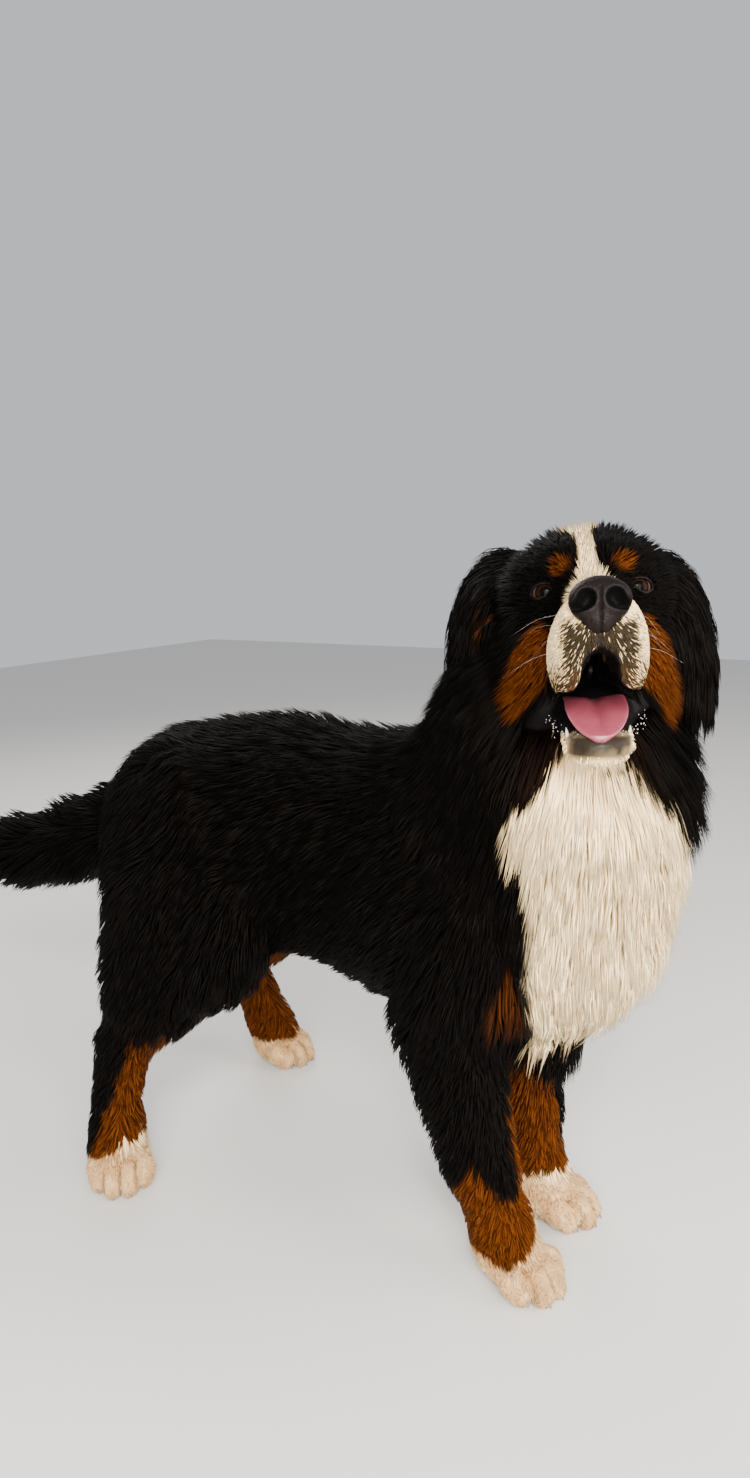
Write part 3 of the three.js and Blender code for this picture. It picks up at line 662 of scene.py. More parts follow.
def body_markings(p):
    x, y, z = p.T
    rough = p + 4 * np.stack([lattice_noise(p, 14, s) for s in (1, 2, 3)], 1)
    rx, ry, rz = rough.T
    up = smooth(470, 565, rz)
    round_chest = np.degrees(np.arctan2(ry + 26 * up, rx - 200 - 100 * up))
    middle, half = np.interp(rz, BIB_Z, BIB_MIDDLE), np.interp(rz, BIB_Z, BIB_HALF)
    white = smooth(2.5, -2.5, np.abs(round_chest - middle) - half) * (x > 225) * (z > 286)
    rust = np.zeros(len(p))
    for leg in LEGS.values():
        side = leg["side"]
        px, py = leg["fore"]["paw"]
        near = (np.abs(x - px + 20) < 100) & (np.abs(y - py) < 68) & (z < 286)
        w, r = fore_markings(rx, ry, rz, leg)
        white, rust = np.where(near, w, white), np.where(near, r, rust)
        rust = np.maximum(rust, 0.5 * blot(rough, (290, side * 112, 372), (20, 22, 52), 9))
        low = (x < -120) & (y * side > 30) & (z < 336)
        w, r = hind_markings(rx, ry, rz, leg)
        white, rust = np.where(low, w, white), np.where(low, r, rust)
    rust = np.maximum(rust, 0.9 * blot(rough, (-338, 0, 420), (44, 40, 46), 9))
    # The white feet are browned: a random real stain, browner towards the floor, and painted shade
    # along the grooves between the toes.
    stained = (z < 70) & (white > 0.5)
    browning = 0.08 + 0.08 * lattice_noise(p, 9, 7) + 0.10 * smooth(34, 8, z)
    # painted shade: browner along the grooves between the toes
    for _, at, axes in paw_frames():
        browning = browning + 0.35 * toe_grooves((p - at) @ axes) * (np.linalg.norm(p - at, axis=1) < 80)
    return np.where(stained, white * (1 - np.clip(browning, 0, 0.6)), white), np.maximum(rust, stained)


# The rust of the cheeks, by height: how far out from the head's middle it starts and ends
CHEEK_V = (-104, -98, -88, -72, -62, -50, -30, -12, 2, 12)
CHEEK_IN = (80, 72, 66, 60, 50, 40, 34, 34, 40, 46)
CHEEK_OUT = (80, 84, 88, 87, 84, 80, 74, 64, 52, 46)


def seen_height(h):
    """The height on the head at right angles to the way its face is turned up."""
    return h[:, 2] + 0.2 * h[:, 0]


def head_markings(h, speckle=None):
    """White and rust on the head, in its own frame; speckle is a random number for each point."""
    rough = h + 2.0 * np.stack([lattice_noise(h, 7, s) for s in (4, 5, 6)], 1)
    x, y, z = rough.T
    v = seen_height(rough)
    side = np.abs(y)
    middle = -4 - 0.05 * (92 - x)
    half = np.interp(x, (-34, 0, 30, 56, 80, 94, 101, 108), (3, 12, 16, 8, 6.5, 8, 16, 40))
    blaze = smooth(1.5, -1.5, np.abs(y - middle) - half) * smooth(-36, -22, x) * (z > -4)
    muzzle = smooth(100, 106, x + 0.10 * side + 0.12 * np.minimum(z + 10, 0))
    muzzle = muzzle * smooth(-92, -84, z) * smooth(38, 28, z)
    white = np.maximum(blaze, muzzle)
    chin = smooth(70, 82, x) * smooth(-93, -97, v)
    throat = smooth(3, -3, side - np.interp(x, (40, 100), (26, 20)))
    throat = throat * smooth(-112, -118, v) * (x > 20)
    white = np.maximum(white, np.maximum(chin, throat))
    inner, outer = np.interp(v, CHEEK_V, CHEEK_IN), np.interp(v, CHEEK_V, CHEEK_OUT)
    rust = smooth(3, -3, np.maximum(inner - side, side - outer))
    rust = rust * smooth(-102, -96, v) * smooth(10, 2, v)
    rust *= smooth(108, 100, x) * smooth(-70, -40, x)
    for s in (-1, 1):
        rust = np.maximum(rust, blot(rough, (88, s * 28, 36), (13.5, 9.5, 8.8), 3.0))
    rust = np.maximum(rust, 0.35 * blot(rough, (0, -112, 0), (12, 9, 18), 5))
    front = smooth(38, 26, side) * smooth(8, -5, v) * (x > 100) * (v > -90)
    middle_chin = chin * smooth(30, 20, side) * smooth(-120, -114, v)
    low = smooth(-28, -50, v) * (x > 96)
    if speckle is not None:
        dark = np.maximum(front * (0.84 + 0.12 * smooth(22, 6, side)), 0.84 * low)
        white = np.where((speckle < dark) & (v > -90), 0.03, white * (1 - 0.22 * front))
        rust = np.maximum(rust, 0.6 * low * (v > -95) * (side > 12) * (speckle < 0.7))
        white = white * (1 - 0.9 * middle_chin * (speckle < 0.75))
    else:
        white = white * (1 - 0.97 * np.maximum(front, low * (v > -90))) * (1 - 0.8 * middle_chin)
    return white, np.clip(rust, 0, 1)


def bare(h):
    """1 on the lips, inside the mouth and at the rims of the eyes, where no hair grows."""
    v, side = seen_height(h), np.abs(h[:, 1])
    inner = 4 * smooth(20, 14, side) * smooth(142, 132, h[:, 0])
    out = smooth(4.5, 2.0, mouth_field(h, 0) - inner)
    out = out * smooth(150, 120, np.abs(h[:, 0] - 60)) * smooth(-95, -91, v)
    lower_lip = 0.93 * smooth(30, 24, side) * smooth(-115, -111, v)
    lower_lip = lower_lip * smooth(-93, -97, v) * smooth(78, 86, h[:, 0])
    out = np.maximum(out, lower_lip)
    lips = smooth(2, -2, side - np.interp(v, CHEEK_V, CHEEK_IN) + 4) * smooth(-54, -60, v)
    lips *= smooth(-99, -96, v) * smooth(104, 98, h[:, 0]) * smooth(0, 14, h[:, 0])
    out = np.maximum(out, lips)
    brim = smooth(-95, -92, v) * smooth(-70, -78, v) * smooth(84, 90, h[:, 0]) * (h[:, 2] < -84)
    philtrum = smooth(1.6, 0.8, side) * smooth(144, 150, h[:, 0]) * smooth(-62, -54, h[:, 2])
    out = np.maximum(out, np.maximum(brim, philtrum))
    for s in (-1, 1):
        a, b, c = eye_frame(h, s)
        out = np.maximum(out, (eye_opening(b, c) < 1.4) * (a > 0) * (a < 40) * (np.abs(b) < 13))
    return out


def warmth(p):
    """1 where the white coat is stained brown, on the paws."""
    return smooth(84, 62, p[:, 2]) * (0.75 + 0.35 * lattice_noise(p, 12, 8))


def markings(p, speckle=None):
    white, rust = body_markings(p)
    h = to_head(p)
    on_head = smooth(190, 172, np.linalg.norm(h - (30, 0, -6), axis=1))
    on_head *= smooth(-140, -122, seen_height(h))
    hw, hr = head_markings(h, speckle)
    white, rust = white + (hw - white) * on_head, rust + (hr - rust) * on_head
    throat = blot(h, (40, 0, -150), (70, 74, 66), 16)
    return white, np.maximum(rust, 0.05 * throat)


# The skin

class Cover:
    """The skin and the tips of the coat over it on lattices of their own frame."""

    def __init__(self, field, low, high, step, at=(0, 0, 0), axes=np.eye(3)):
        self.at, self.axes = np.array(at, float), axes
        self.skin = Lattice(lambda p: field(p, 0.0), low, high, step)
        self.tips = Lattice(lambda p: field(p, 1.0), low, high, step)

    def read(self, p):
        local = (p - self.at) @ self.axes
        return self.skin.read(local), self.tips.read(local)

    def slope(self, p):
        local = (p - self.at) @ self.axes
        by = self.tips.step
        return unit(self.tips.slope(local, by) + self.skin.slope(local, by)) @ self.axes.T


BOX_LOW, BOX_HIGH = (-760, -270, -6), (520, 270, 905)
HEAD_LOW, HEAD_HIGH = (-130, -130, -180), (196, 130, 130)
PAW_LOW, PAW_HIGH = (-90, -64, -4), (84, 64, 110)
PAW_TOP = 78


def head_and_body(h, share):
    return blended(head_field(h, share), body_field(from_head(h), share), HEAD_BLEND)


def paw_and_body(at, axes):
    return lambda p, share: body_field(p @ axes.T + at, share)


body_cover = Cover(whole_field, BOX_LOW, BOX_HIGH, 9.0)
head_cover = Cover(head_and_body, HEAD_LOW, HEAD_HIGH, 3.2, SKULL, SKULL_AXES)
COVERS = {"head": head_cover}
for paw_name, paw_at, paw_axes in paw_frames():
    COVERS[paw_name] = Cover(paw_and_body(paw_at, paw_axes), PAW_LOW, PAW_HIGH, 3.5, paw_at, paw_axes)


def in_head(p):
    h = to_head(p)
    x, y, z = h.T
    return (x > -100) & (x < 220) & (np.abs(y) < 110) & (z > -150 + 0.35 * np.abs(x))


def body_skin():
    mesh = surface(whole_field, BOX_LOW, BOX_HIGH, 7.5)
    return kept(*mesh, lambda c: (c[:, 2] > PAW_TOP - 4) & ~in_head(c))


def head_skin():
    points, faces = surface(head_and_body, (-112, -112, -165), (188, 112, 104), 2.2)
    return kept(from_head(points), faces, in_head)


def paw_skin(at, axes):
    points, faces = surface(paw_and_body(at, axes), PAW_LOW, (84, 64, PAW_TOP + 6), 2.8)
    return kept(points @ axes.T + at, faces, lambda c: c[:, 2] < PAW_TOP)


SKINS = {"body": body_skin(), "head": head_skin()}
for paw_name, paw_at, paw_axes in paw_frames():
    SKINS[paw_name] = paw_skin(paw_at, paw_axes)
EARS = {side: ear_strap(side) for side in (-1, 1)}
skin_points, skin_faces = merged(*SKINS.values(), *EARS.values())
white, rust = markings(skin_points)
near_head = np.linalg.norm(to_head(skin_points), axis=1) < NEAR_HEAD
bald = np.where(near_head, bare(to_head(skin_points)), 0)
skin_tone = {"white": white, "rust": rust, "bare": bald, "warm": warmth(skin_points)}
skin = mesh_object("skin", skin_points, skin_faces, skin_tone)


# Shader maths as plain expressions

class Value:
    """A socket of a shader, with the operators that the materials use."""

    def __init__(self, tree, socket):
        self.tree, self.socket = tree, socket

    def _math(self, operation, other=None, flipped=False, **settings):
        pair = (other, self) if flipped else (self, other)
        return self.tree.node("ShaderNodeMath", {"operation": operation, **settings},
                              {i: v for i, v in enumerate(pair) if v is not None})

    def __add__(self, other):
        return self._math("ADD", other)

    def __sub__(self, other):
        return self._math("SUBTRACT", other)

    def __mul__(self, other):
        return self._math("MULTIPLY", other)

    def __rsub__(self, other):
        return self._math("SUBTRACT", other, flipped=True)

    __radd__, __rmul__ = __add__, __mul__

    def clamped(self):
        return self._math("ADD", 0.0, use_clamp=True)


class Finish:
    """A material and the nodes that make it."""

    def __init__(self, name, roughness=0.5, **sockets):
        self.material = bpy.data.materials.new(name)
        self.material.use_nodes = True
        self.nodes = self.material.node_tree.nodes
        self.shader = self.nodes["Principled BSDF"]
        self.set(Roughness=roughness, **sockets)

    def node(self, kind, settings=None, inputs=None, output=0):
        made = self.nodes.new(kind)
        for key, value in (settings or {}).items():
            setattr(made, key, value)
        for key, value in (inputs or {}).items():
            self.feed(made.inputs[key], value)
        return Value(self, made.outputs[output])

    def feed(self, socket, value):
        if isinstance(value, Value):
            self.material.node_tree.links.new(value.socket, socket)
        elif isinstance(value, tuple) and len(value) == 3 and socket.type == "RGBA":
            socket.default_value = (*value, 1)
        else:
            socket.default_value = value

    def set(self, **sockets):
        for key, value in sockets.items():
            self.feed(self.shader.inputs[key.replace("_", " ")], value)
        return self

    def mix(self, factor, a, b):
        return self.node("ShaderNodeMix", {"data_type": "RGBA"}, {"Factor": factor, "A": a, "B": b}, 2)

    def attribute(self, name):
        return self.node("ShaderNodeAttribute", {"attribute_name": name}, output=2)

    def where(self):
        return self.node("ShaderNodeTexCoord", output=3)

    def noise(self, scale, detail=3.0, roughness=0.5, at=None):
        inputs = {"Vector": at or self.where(), "Scale": scale, "Detail": detail,
                  "Roughness": roughness}
        return self.node("ShaderNodeTexNoise", None, inputs)

    def bump(self, height, distance, strength=1.0):
        inputs = {"Height": height, "Distance": distance, "Strength": strength}
        return self.node("ShaderNodeBump", None, inputs)


BLACK_ROOT, BLACK_TIP = (0.0010, 0.0008, 0.0007), (0.0042, 0.0030, 0.0023)
RUST_DEEP, RUST_BRIGHT = (0.014, 0.0030, 0.0004), (0.115, 0.029, 0.0022)
WHITE_ROOT, WHITE_TIP = (0.74, 0.47, 0.21), (1.0, 0.84, 0.52)
WARM_WHITE = (0.52, 0.30, 0.13)
LIP = (0.0045, 0.0038, 0.0042)


def coat_colour(finish, along, shade):
    """Black, rust and white by the markings, each from its root colour to its tip colour."""
    white, rust = finish.attribute("white"), finish.attribute("rust")
    black = finish.mix((along * shade).clamped(), BLACK_ROOT, BLACK_TIP)
    brown = finish.mix((along * 0.6 + shade * 0.4).clamped(), RUST_DEEP, RUST_BRIGHT)
    cream = finish.mix((along * 0.6 + shade * 0.4).clamped(), WHITE_ROOT, WHITE_TIP)
    browning = (finish.noise(16) - 0.47) * 0.7 + finish.attribute("warm")
    cream = finish.mix(browning.clamped(), cream, WARM_WHITE)
    return finish.mix(white, finish.mix(rust, black, brown), cream)


def skin_finish():
    finish = Finish("short_coat", 0.62, Specular_IOR_Level=0.03, Coat_Roughness=0.25)
    fine = finish.noise(420, 4, 0.65)
    shade = (finish.noise(60) * 1.4 - 0.2).clamped()
    bald = finish.attribute("bare")
    wet = (finish.noise(130, 3) * 0.5 + 0.1) * bald
    # The skin's colour is held near the darker root colours: painted shade between the hairs.
    finish.set(Base_Color=finish.mix(bald, coat_colour(finish, fine * 0.6, shade * 0.5), LIP),
               Roughness=(1 - bald) * 0.62 + wet, Coat_Weight=bald * 0.12,
               Normal=finish.bump(fine, 0.0012, 0.6))
    return finish.material


def fur_finish():
    finish = Finish("long_coat", 0.62, Specular_IOR_Level=0.03)
    along, shade, across = (finish.attribute(name) for name in ("along", "shade", "across"))
    line = finish.node("ShaderNodeCombineXYZ", None,
                       {0: across * 7.0 + shade * 90.0, 1: along * 1.4})
    hairs = finish.noise(1.0, 1.0, at=line) * 1.5 - 0.25
    finish.set(Base_Color=coat_colour(finish, (along * 0.6 + hairs * 0.5).clamped(), shade))
    return finish.material


def lid_finish():
    finish = Finish("lids", 0.5, Specular_IOR_Level=0.12)
    fine = finish.noise(500, 3)
    finish.set(Base_Color=finish.mix(fine, (0.0012, 0.001, 0.001), (0.006, 0.0045, 0.0042)),
               Normal=finish.bump(fine, 0.0005, 0.5))
    return finish.material


SHORT_COAT, LONG_COAT, LID_FINISH = skin_finish(), fur_finish(), lid_finish()
skin.data.materials.append(SHORT_COAT)

# Tufts

random = np.random.default_rng(41)
FLESH = ["torso", "neck", "tail", "paws",
         *[f"thigh_{n}" for n in LEGS], *[f"foreleg_{n}" for n in LEGS]]


def sow(points, faces, count):
    """Random points over a mesh of quads, by area, with the faces' normals."""
    a, b, c, d = (points[faces[:, k]] for k in range(4))
    cross = np.cross(c - a, d - b)
    area = np.linalg.norm(cross, axis=1)
    pick = random.choice(len(faces), count, p=area / area.sum())
    u, v = random.random((2, count, 1))
    spots = (1 - u) * ((1 - v) * a[pick] + v * d[pick]) + u * ((1 - v) * b[pick] + v * c[pick])
    return spots, unit(cross)[pick]


def head_lie(h):
    """The way the hair lies on the head, in its own frame: back from the nose."""
    x, y, z = h.T
    side, v = np.sign(y), seen_height(h)
    flat = np.zeros(len(h))

    def way(a, b, c):
        return unit(np.stack([flat + a, flat + b, flat + c], 1))

    def over(under, top, share):
        return under + (top - under) * share[:, None]

    out = way(-1, 0.008 * y, 0.15)
    out = over(out, way(-0.75, 0.4 * side, -0.6), smooth(20, -10, z))
    out = over(out, way(-0.6, 0.42 * side, -0.8), smooth(-10, -50, z))
    out = over(out, way(-0.25, 0.03 * y, -0.7), smooth(112, 128, x) * smooth(6, -8, z))
    for s in (-1, 1):
        off = h - (EYE[0], s * EYE[1], EYE[2])
        far = np.linalg.norm(off, axis=1)
        out = over(out, unit(out * 0.6 + off / far[:, None]), smooth(27, 18, far))
    out = over(out, way(-0.7, 0, -0.6), smooth(-96, -102, v))
    return over(out, way(-0.35, 0.2 * side, -1), smooth(-112, -124, v))


def lie(p, normals, region):
    """The way the hair lies at each point of a region, not yet laid on the skin."""
    flat = np.zeros(len(p))
    if region == "head":
        return head_lie(to_head(p)) @ SKULL_AXES.T
    if region == "torso":
        down = 0.25 + 0.75 * np.minimum(1, np.abs(p[:, 1]) / 125)
        front = smooth(225, 300, p[:, 0])
        rump = smooth(-270, -330, p[:, 0])
        return unit(np.stack([-1 + 1.1 * front, flat, -down - 0.6 * front - rump], 1))
    if region == "neck":
        away = unit(p - from_head([[0, 0, 0]]))
        return unit(away * (0.42, 0.42, 0.2) + (-0.1, 0, -0.85))
    if region == "tail":
        down = 0.3 + 0.35 * smooth(0.4, -0.4, normals[:, 2])
        return unit(np.stack([flat - 1, flat + 0.22, -down], 1))
    if region.startswith("thigh"):
        return unit(np.stack([flat - 0.45, flat, flat - 1], 1))
    if region.startswith("foreleg"):
        return unit(np.stack([-0.25 - 0.35 * smooth(0.6, -0.6, normals[:, 0]), flat, flat - 1], 1))
    cover = COVERS[region]
    local = (p - cover.at) @ cover.axes
    return unit(np.stack([flat + 0.7, 0.008 * local[:, 1], flat - 0.8], 1)) @ cover.axes.T


def hanging(p, normals, region):
    """How freely the hair hangs: under the chest, the belly and the tail, and behind the legs."""
    under = smooth(-0.1, -0.8, normals[:, 2])
    if region == "torso":
        chest = smooth(430, 350, p[:, 2]) * smooth(205, 250, p[:, 0])
        return np.maximum(0.35 * under, 0.75 * chest)
    if region == "tail":
        return 0.6 * under
    behind = smooth(-0.2, -0.9, normals[:, 0])
    return 0.45 * behind if region.startswith(("thigh", "foreleg")) else 0 * under


# For tufts of four points and of three: how high each point stands in the coat, root first, and
# how far it is drawn to the leader of its lock
RISE = {4: (-0.03, 0.45, 0.8, 1.0), 3: (-0.03, 0.7, 1.0)}
PULL = {4: (0, 0.12, 0.42, 0.7), 3: (0, 0.3, 0.6)}
LEAST_DEPTH = 1.8  # how deep the shortest coat is
STEEPEST = 12, 0.7  # how far a tuft may climb from point to point: millimetres, or a share of them


def laid(roots, normals, region, length, height, wave, rings):
    """The paths of hairs that leave the skin, run along the lie and come up towards the tips."""
    cover = COVERS.get(region, body_cover)
    paths = [roots - normals * 1.0]
    spot = roots.copy()
    phase = random.random(len(roots)) * 2 * np.pi
    free = hanging(roots, normals, region)[:, None]
    for k in range(1, rings):
        normal = cover.slope(spot)
        way = lie(spot, normal, region)
        off_skin = normal * (way * normal).sum(1, keepdims=True)
        way = unit(way - off_skin * (1 - free) + free * (0, 0, -0.5))
        side = np.cross(normal, way)
        bend = wave * np.sin(phase + 2.1 * k)
        spot = spot + unit(way + side * bend[:, None]) * (length / (rings - 1))[:, None]
        skin_at, tips_at = cover.read(spot)
        depth = np.maximum(skin_at - tips_at, LEAST_DEPTH)
        most = np.maximum(STEEPEST[0], STEEPEST[1] * length / (rings - 1))
        off = np.clip(skin_at - depth * height * RISE[rings][k], -most, most)
        spot = spot - normal * off[:, None] * 0.92 * (1 - free)
        spot[:, 2] = np.maximum(spot[:, 2], TUFT_LIFT)
        paths.append(spot.copy())
    return np.stack(paths, 1)


def gathered(paths, share, every=22):
    """Hairs drawn towards a leader nearby, most at their tips, so that they end in locks."""
    leaders = random.choice(len(paths), max(4, len(paths) // every), replace=False)
    tree = kdtree.KDTree(len(leaders))
    for i, middle in enumerate(paths[leaders, 1]):
        tree.insert(middle, i)
    tree.balance()
    nearest = np.array([tree.find(m)[1] for m in paths[:, 1]])
    pull = np.array(PULL[paths.shape[1]])[None, :, None] * share
    paths = paths + (paths[leaders[nearest]] - paths) * pull
    paths[..., 2] = np.maximum(paths[..., 2], TUFT_LIFT)
    return paths


def tuft_object(name, paths, normals, width, thick, tone, home):
    """Tufts as one mesh: each is three-sided, tapers to a point and is closed at its root."""
    n, rings = len(paths), paths.shape[1]
    along = unit(np.gradient(paths, axis=1))
    across = unit(np.cross(along, unit(normals)[:, None]))
    out = np.cross(across, along)
    t = np.linspace(0, 1, rings)[: rings - 1]
    w = width[:, None] * np.interp(t, (0, 0.3, 0.7, 1), (0.75, 1, 0.72, 0.1))
    h = thick * (1 - 0.5 * t)
    corners = []
    for c, s in ((-0.5, -0.35), (0.5, -0.35), (0.0, 0.65)):
        corner = paths[:, :-1] + across[:, :-1] * (c * w)[..., None]
        corners.append(corner + out[:, :-1] * (s * h)[..., None])
    ring = np.stack(corners, 2).reshape(n, (rings - 1) * 3, 3)
    points = np.concatenate([ring, paths[:, -1:]], 1)
    per = points.shape[1]
    quads = []
    for r in range(rings - 2):
        for k in range(3):
            a, b = r * 3 + k, r * 3 + (k + 1) % 3
            quads.append((a, b, b + 3, a + 3))
    tip, last = per - 1, (rings - 2) * 3
    quads += [(last + k, last + (k + 1) % 3, tip, tip) for k in range(3)]
    quads.append((2, 1, 0, 0))
    faces = (np.array(quads)[None] + (np.arange(n) * per)[:, None, None]).reshape(-1, 4)
    way = np.append(np.repeat(t, 3), 1.0)
    edge = np.append(np.tile([0, 1, 0.5], rings - 1), 0.5)
    values = {key: np.repeat(v, per) for key, v in tone.items()}
    values["along"], values["across"] = np.tile(way, n), np.tile(edge, n)
    piece = mesh_object(name, points.reshape(-1, 3), faces, values)
    spread = np.stack([values["along"], values["across"]], 1)
    patch = np.repeat(home, per, axis=0) + PATCH * spread
    layer = piece.data.uv_layers.new(name="OFBake")
    loops = np.zeros(len(piece.data.loops), np.int32)
    piece.data.loops.foreach_get("vertex_index", loops)
    layer.data.foreach_set("uv", patch[loops].astype(np.float32).ravel())
    piece.data.materials.append(LONG_COAT)
    return piece


# How the coat grows on each region: how many tufts and of how many points, their width and
# thickness, how far the length goes beyond the coat's depth and the least it is, how they gather
# into locks and how they wave
GROWTH = ("count", "rings", "width", "thick", "longer", "least", "gather", "wave")
COAT = {
    "head": (26000, 3, 1.5, 0.5, 1.5, 9, 0.25, 0.10),
    "neck": (17000, 4, 3.4, 0.7, 1.5, 30, 0.55, 0.14),
    "torso": (21500, 4, 4.2, 0.8, 1.5, 36, 0.5, 0.18),
    "tail": (4600, 4, 3.4, 0.8, 1.9, 40, 0.6, 0.14),
    "thigh_right": (7000, 4, 3.8, 0.8, 1.9, 24, 0.5, 0.16),
    "thigh_left": (6500, 4, 3.8, 0.8, 1.9, 24, 0.5, 0.16),
    "foreleg_right": (4800, 4, 2.9, 0.7, 1.7, 20, 0.4, 0.10),
    "foreleg_left": (4400, 4, 2.9, 0.7, 1.7, 20, 0.4, 0.10),
}
for paw_name, _, _ in paw_frames():
    COAT[paw_name] = (2900, 3, 1.9, 0.6, 1.2, 8, 0.15, 0.08)
COAT = {name: dict(zip(GROWTH, row)) for name, row in COAT.items()}
EAR_COUNT = 2600
REPLACED = [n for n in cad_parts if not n.startswith(("eye_", "nose", "tongue"))]
MOST = 12000  # tufts in one piece

# The unwrap of the skin: a strip for each region, as wide as its share of the coat
strips, start = {}, 0.0
counts = {name: c["count"] for name, c in COAT.items()}
counts |= {"ear_right": EAR_COUNT, "ear_left": EAR_COUNT}
for name, count in counts.items():
    strips[name] = (start, count / sum(counts.values()))
    start += count / sum(counts.values())


def atlas(p, name):
    """Where roots lie on the unwrap: rolled off the region's own axis."""
    begin, wide = strips[name]
    if name == "head":
        h = to_head(p)
        along, angle = (h[:, 0] + 120) / 320, np.arctan2(h[:, 1], -h[:, 2] - 20)
    elif name == "torso":
        along, angle = (p[:, 0] + 400) / 820, np.arctan2(p[:, 1], 490 - p[:, 2])
    elif name == "tail":
        along, angle = (p[:, 0] + 740) / 460, np.arctan2(p[:, 1] + 45, 430 - p[:, 2])
    elif name == "neck":
        along, angle = (p[:, 2] - 450) / 320, np.arctan2(p[:, 1] + 20, 300 - p[:, 0])
    else:
        d = p - p.mean(0)
        along, angle = d[:, 2] / 600 + 0.5, np.arctan2(d[:, 1], -d[:, 0])
    return np.stack([begin + wide * np.clip(along, 0, 1), 0.5 + angle / (2 * np.pi)], 1) * 0.994


def region_of(p):
    far = np.stack([GROUPS[name](p, 0.45) for name in FLESH], 1)
    names = np.array(FLESH, dtype="U16")[far.argmin(1)]
    h = to_head(p)
    close = np.linalg.norm(h, axis=1) < 250
    on_head = np.zeros(len(p), bool)
    on_head[close] = head_field(h[close], 0.45, details=False) < far.min(1)[close]
    inside = on_head & (h > np.array(HEAD_LOW) + 8).all(1) & (h < np.array(HEAD_HIGH) - 8).all(1)
    names = np.where(inside, "head", np.where(on_head, "neck", names))
    for name, at, _ in paw_frames():
        names[((names == "paws") | (p[:, 2] < 64)) & (np.linalg.norm(p - at, axis=1) < 130)] = name
    return names


def head_length(h):
    """How long the hair of the head is: shortest on the muzzle, longest behind the cheeks."""
    x, y, z = h.T
    long = np.interp(x, (-60, 10, 52, 84, 100, 150), (44, 38, 22, 10, 7.5, 6.5))
    cheek = np.interp(x, (-20, 40, 80, 100), (34, 24, 13, 7))
    long = np.where(z < 10, np.minimum(long, cheek), long)
    eye = np.linalg.norm(h * (1, 0, 1) + (0, 1, 0) * np.abs(h) - EYE, axis=1)
    long = np.minimum(long, np.interp(eye, (15, 20, 34, 46), (4.5, 6, 14, 60)))
    return np.where(seen_height(h) < -98, np.interp(x, (40, 90, 110), (30, 14, 9)), long)


def grown(name, c, spots, normals):
    """The tufts of one region, in as many pieces as they need."""
    depth = np.maximum(-COVERS.get(name, body_cover).read(spots)[1], 1.2)
    if name == "head":
        length = head_length(to_head(spots))
    else:
        length = np.maximum(c["least"], depth * c["longer"] + c["least"] * 0.4)
        length = length * (1 + 0.35 * hanging(spots, normals, name))
    wanted = min(len(spots), c["count"] // THIN)
    weight = length**-1.35 if name == "head" else np.ones(len(spots))
    pick = random.choice(len(spots), wanted, replace=False, p=weight / weight.sum())
    p, n = spots[pick], normals[pick]
    length = length[pick] * random.uniform(0.8, 1.2, wanted)
    low = random.random(wanted) < 0.25
    height = np.where(low, random.uniform(0.35, 0.7, wanted), random.uniform(0.75, 1.05, wanted))
    if name == "head":
        x, _, z = to_head(p).T
        height = height * (1 + 0.8 * smooth(10, 50, z) * smooth(70, 30, x))
    paths = laid(p, n, name, length, height, c["wave"], c["rings"])
    paths = gathered(paths, c["gather"])
    size = c["width"] * random.uniform(0.75, 1.2, wanted)
    if name == "head":
        size = size * np.interp(length, (6, 14, 34), (0.56, 0.9, 1.6))
    w, r = markings(paths[:, -2], random.random(wanted))
    tone = {"white": w, "rust": r, "warm": warmth(p), "shade": random.random(wanted)}
    home = atlas(p, name)
    pieces = []
    for part in range(math.ceil(wanted / MOST)):
        s = slice(part * MOST, (part + 1) * MOST)
        label = f"coat_{name}_{part + 1}" if wanted > MOST else f"coat_{name}"
        own = {key: values[s] for key, values in tone.items()}
        pieces.append(tuft_object(label, paths[s], n[s], size[s], c["thick"], own, home[s]))
    return pieces


def ear_coat(side, name):
    """The hair of an ear, which runs down along it and hangs over its edges."""
    count = EAR_COUNT // THIN
    p, n = sow(*EARS[side], count)
    spine = from_head(along_curve(ear_knots(side), 40))
    tangent = unit(np.gradient(spine, axis=0))
    far = np.linalg.norm(p[:, None] - spine[None], axis=2)
    near = far.argmin(1)
    off = unit(p - spine[near])
    edge = smooth(20, 40, far.min(1))
    t = near / 39
    way = tangent[near] + off * (0.25 + 0.2 * edge)[:, None] + (0, 0, -0.35)
    way = unit(way - n * (way * n).sum(1, keepdims=True) * 0.8)
    length = (24 + 16 * t + 12 * edge) * random.uniform(0.8, 1.25, count)
    lift = (5 + 4 * edge) * random.uniform(0.5, 1.3, count)
    paths = []
    for k, rise in enumerate((-0.1, 0.6, 0.95, 0.9)):
        spot = p + way * (length * k / 3)[:, None] + n * (lift * rise)[:, None]
        paths.append(spot + np.array([0, 0, -1.0]) * (1.1 * k * k))
    paths = gathered(np.stack(paths, 1), 0.5)
    w, r = markings(paths[:, -2])
    tone = {"white": w * 0, "rust": r, "warm": w * 0, "shade": random.random(count)}
    width = 3.0 * random.uniform(0.75, 1.2, count)
    return tuft_object(f"coat_ear_{name}", paths, n, width, 0.7, tone, atlas(p, f"ear_{name}"))


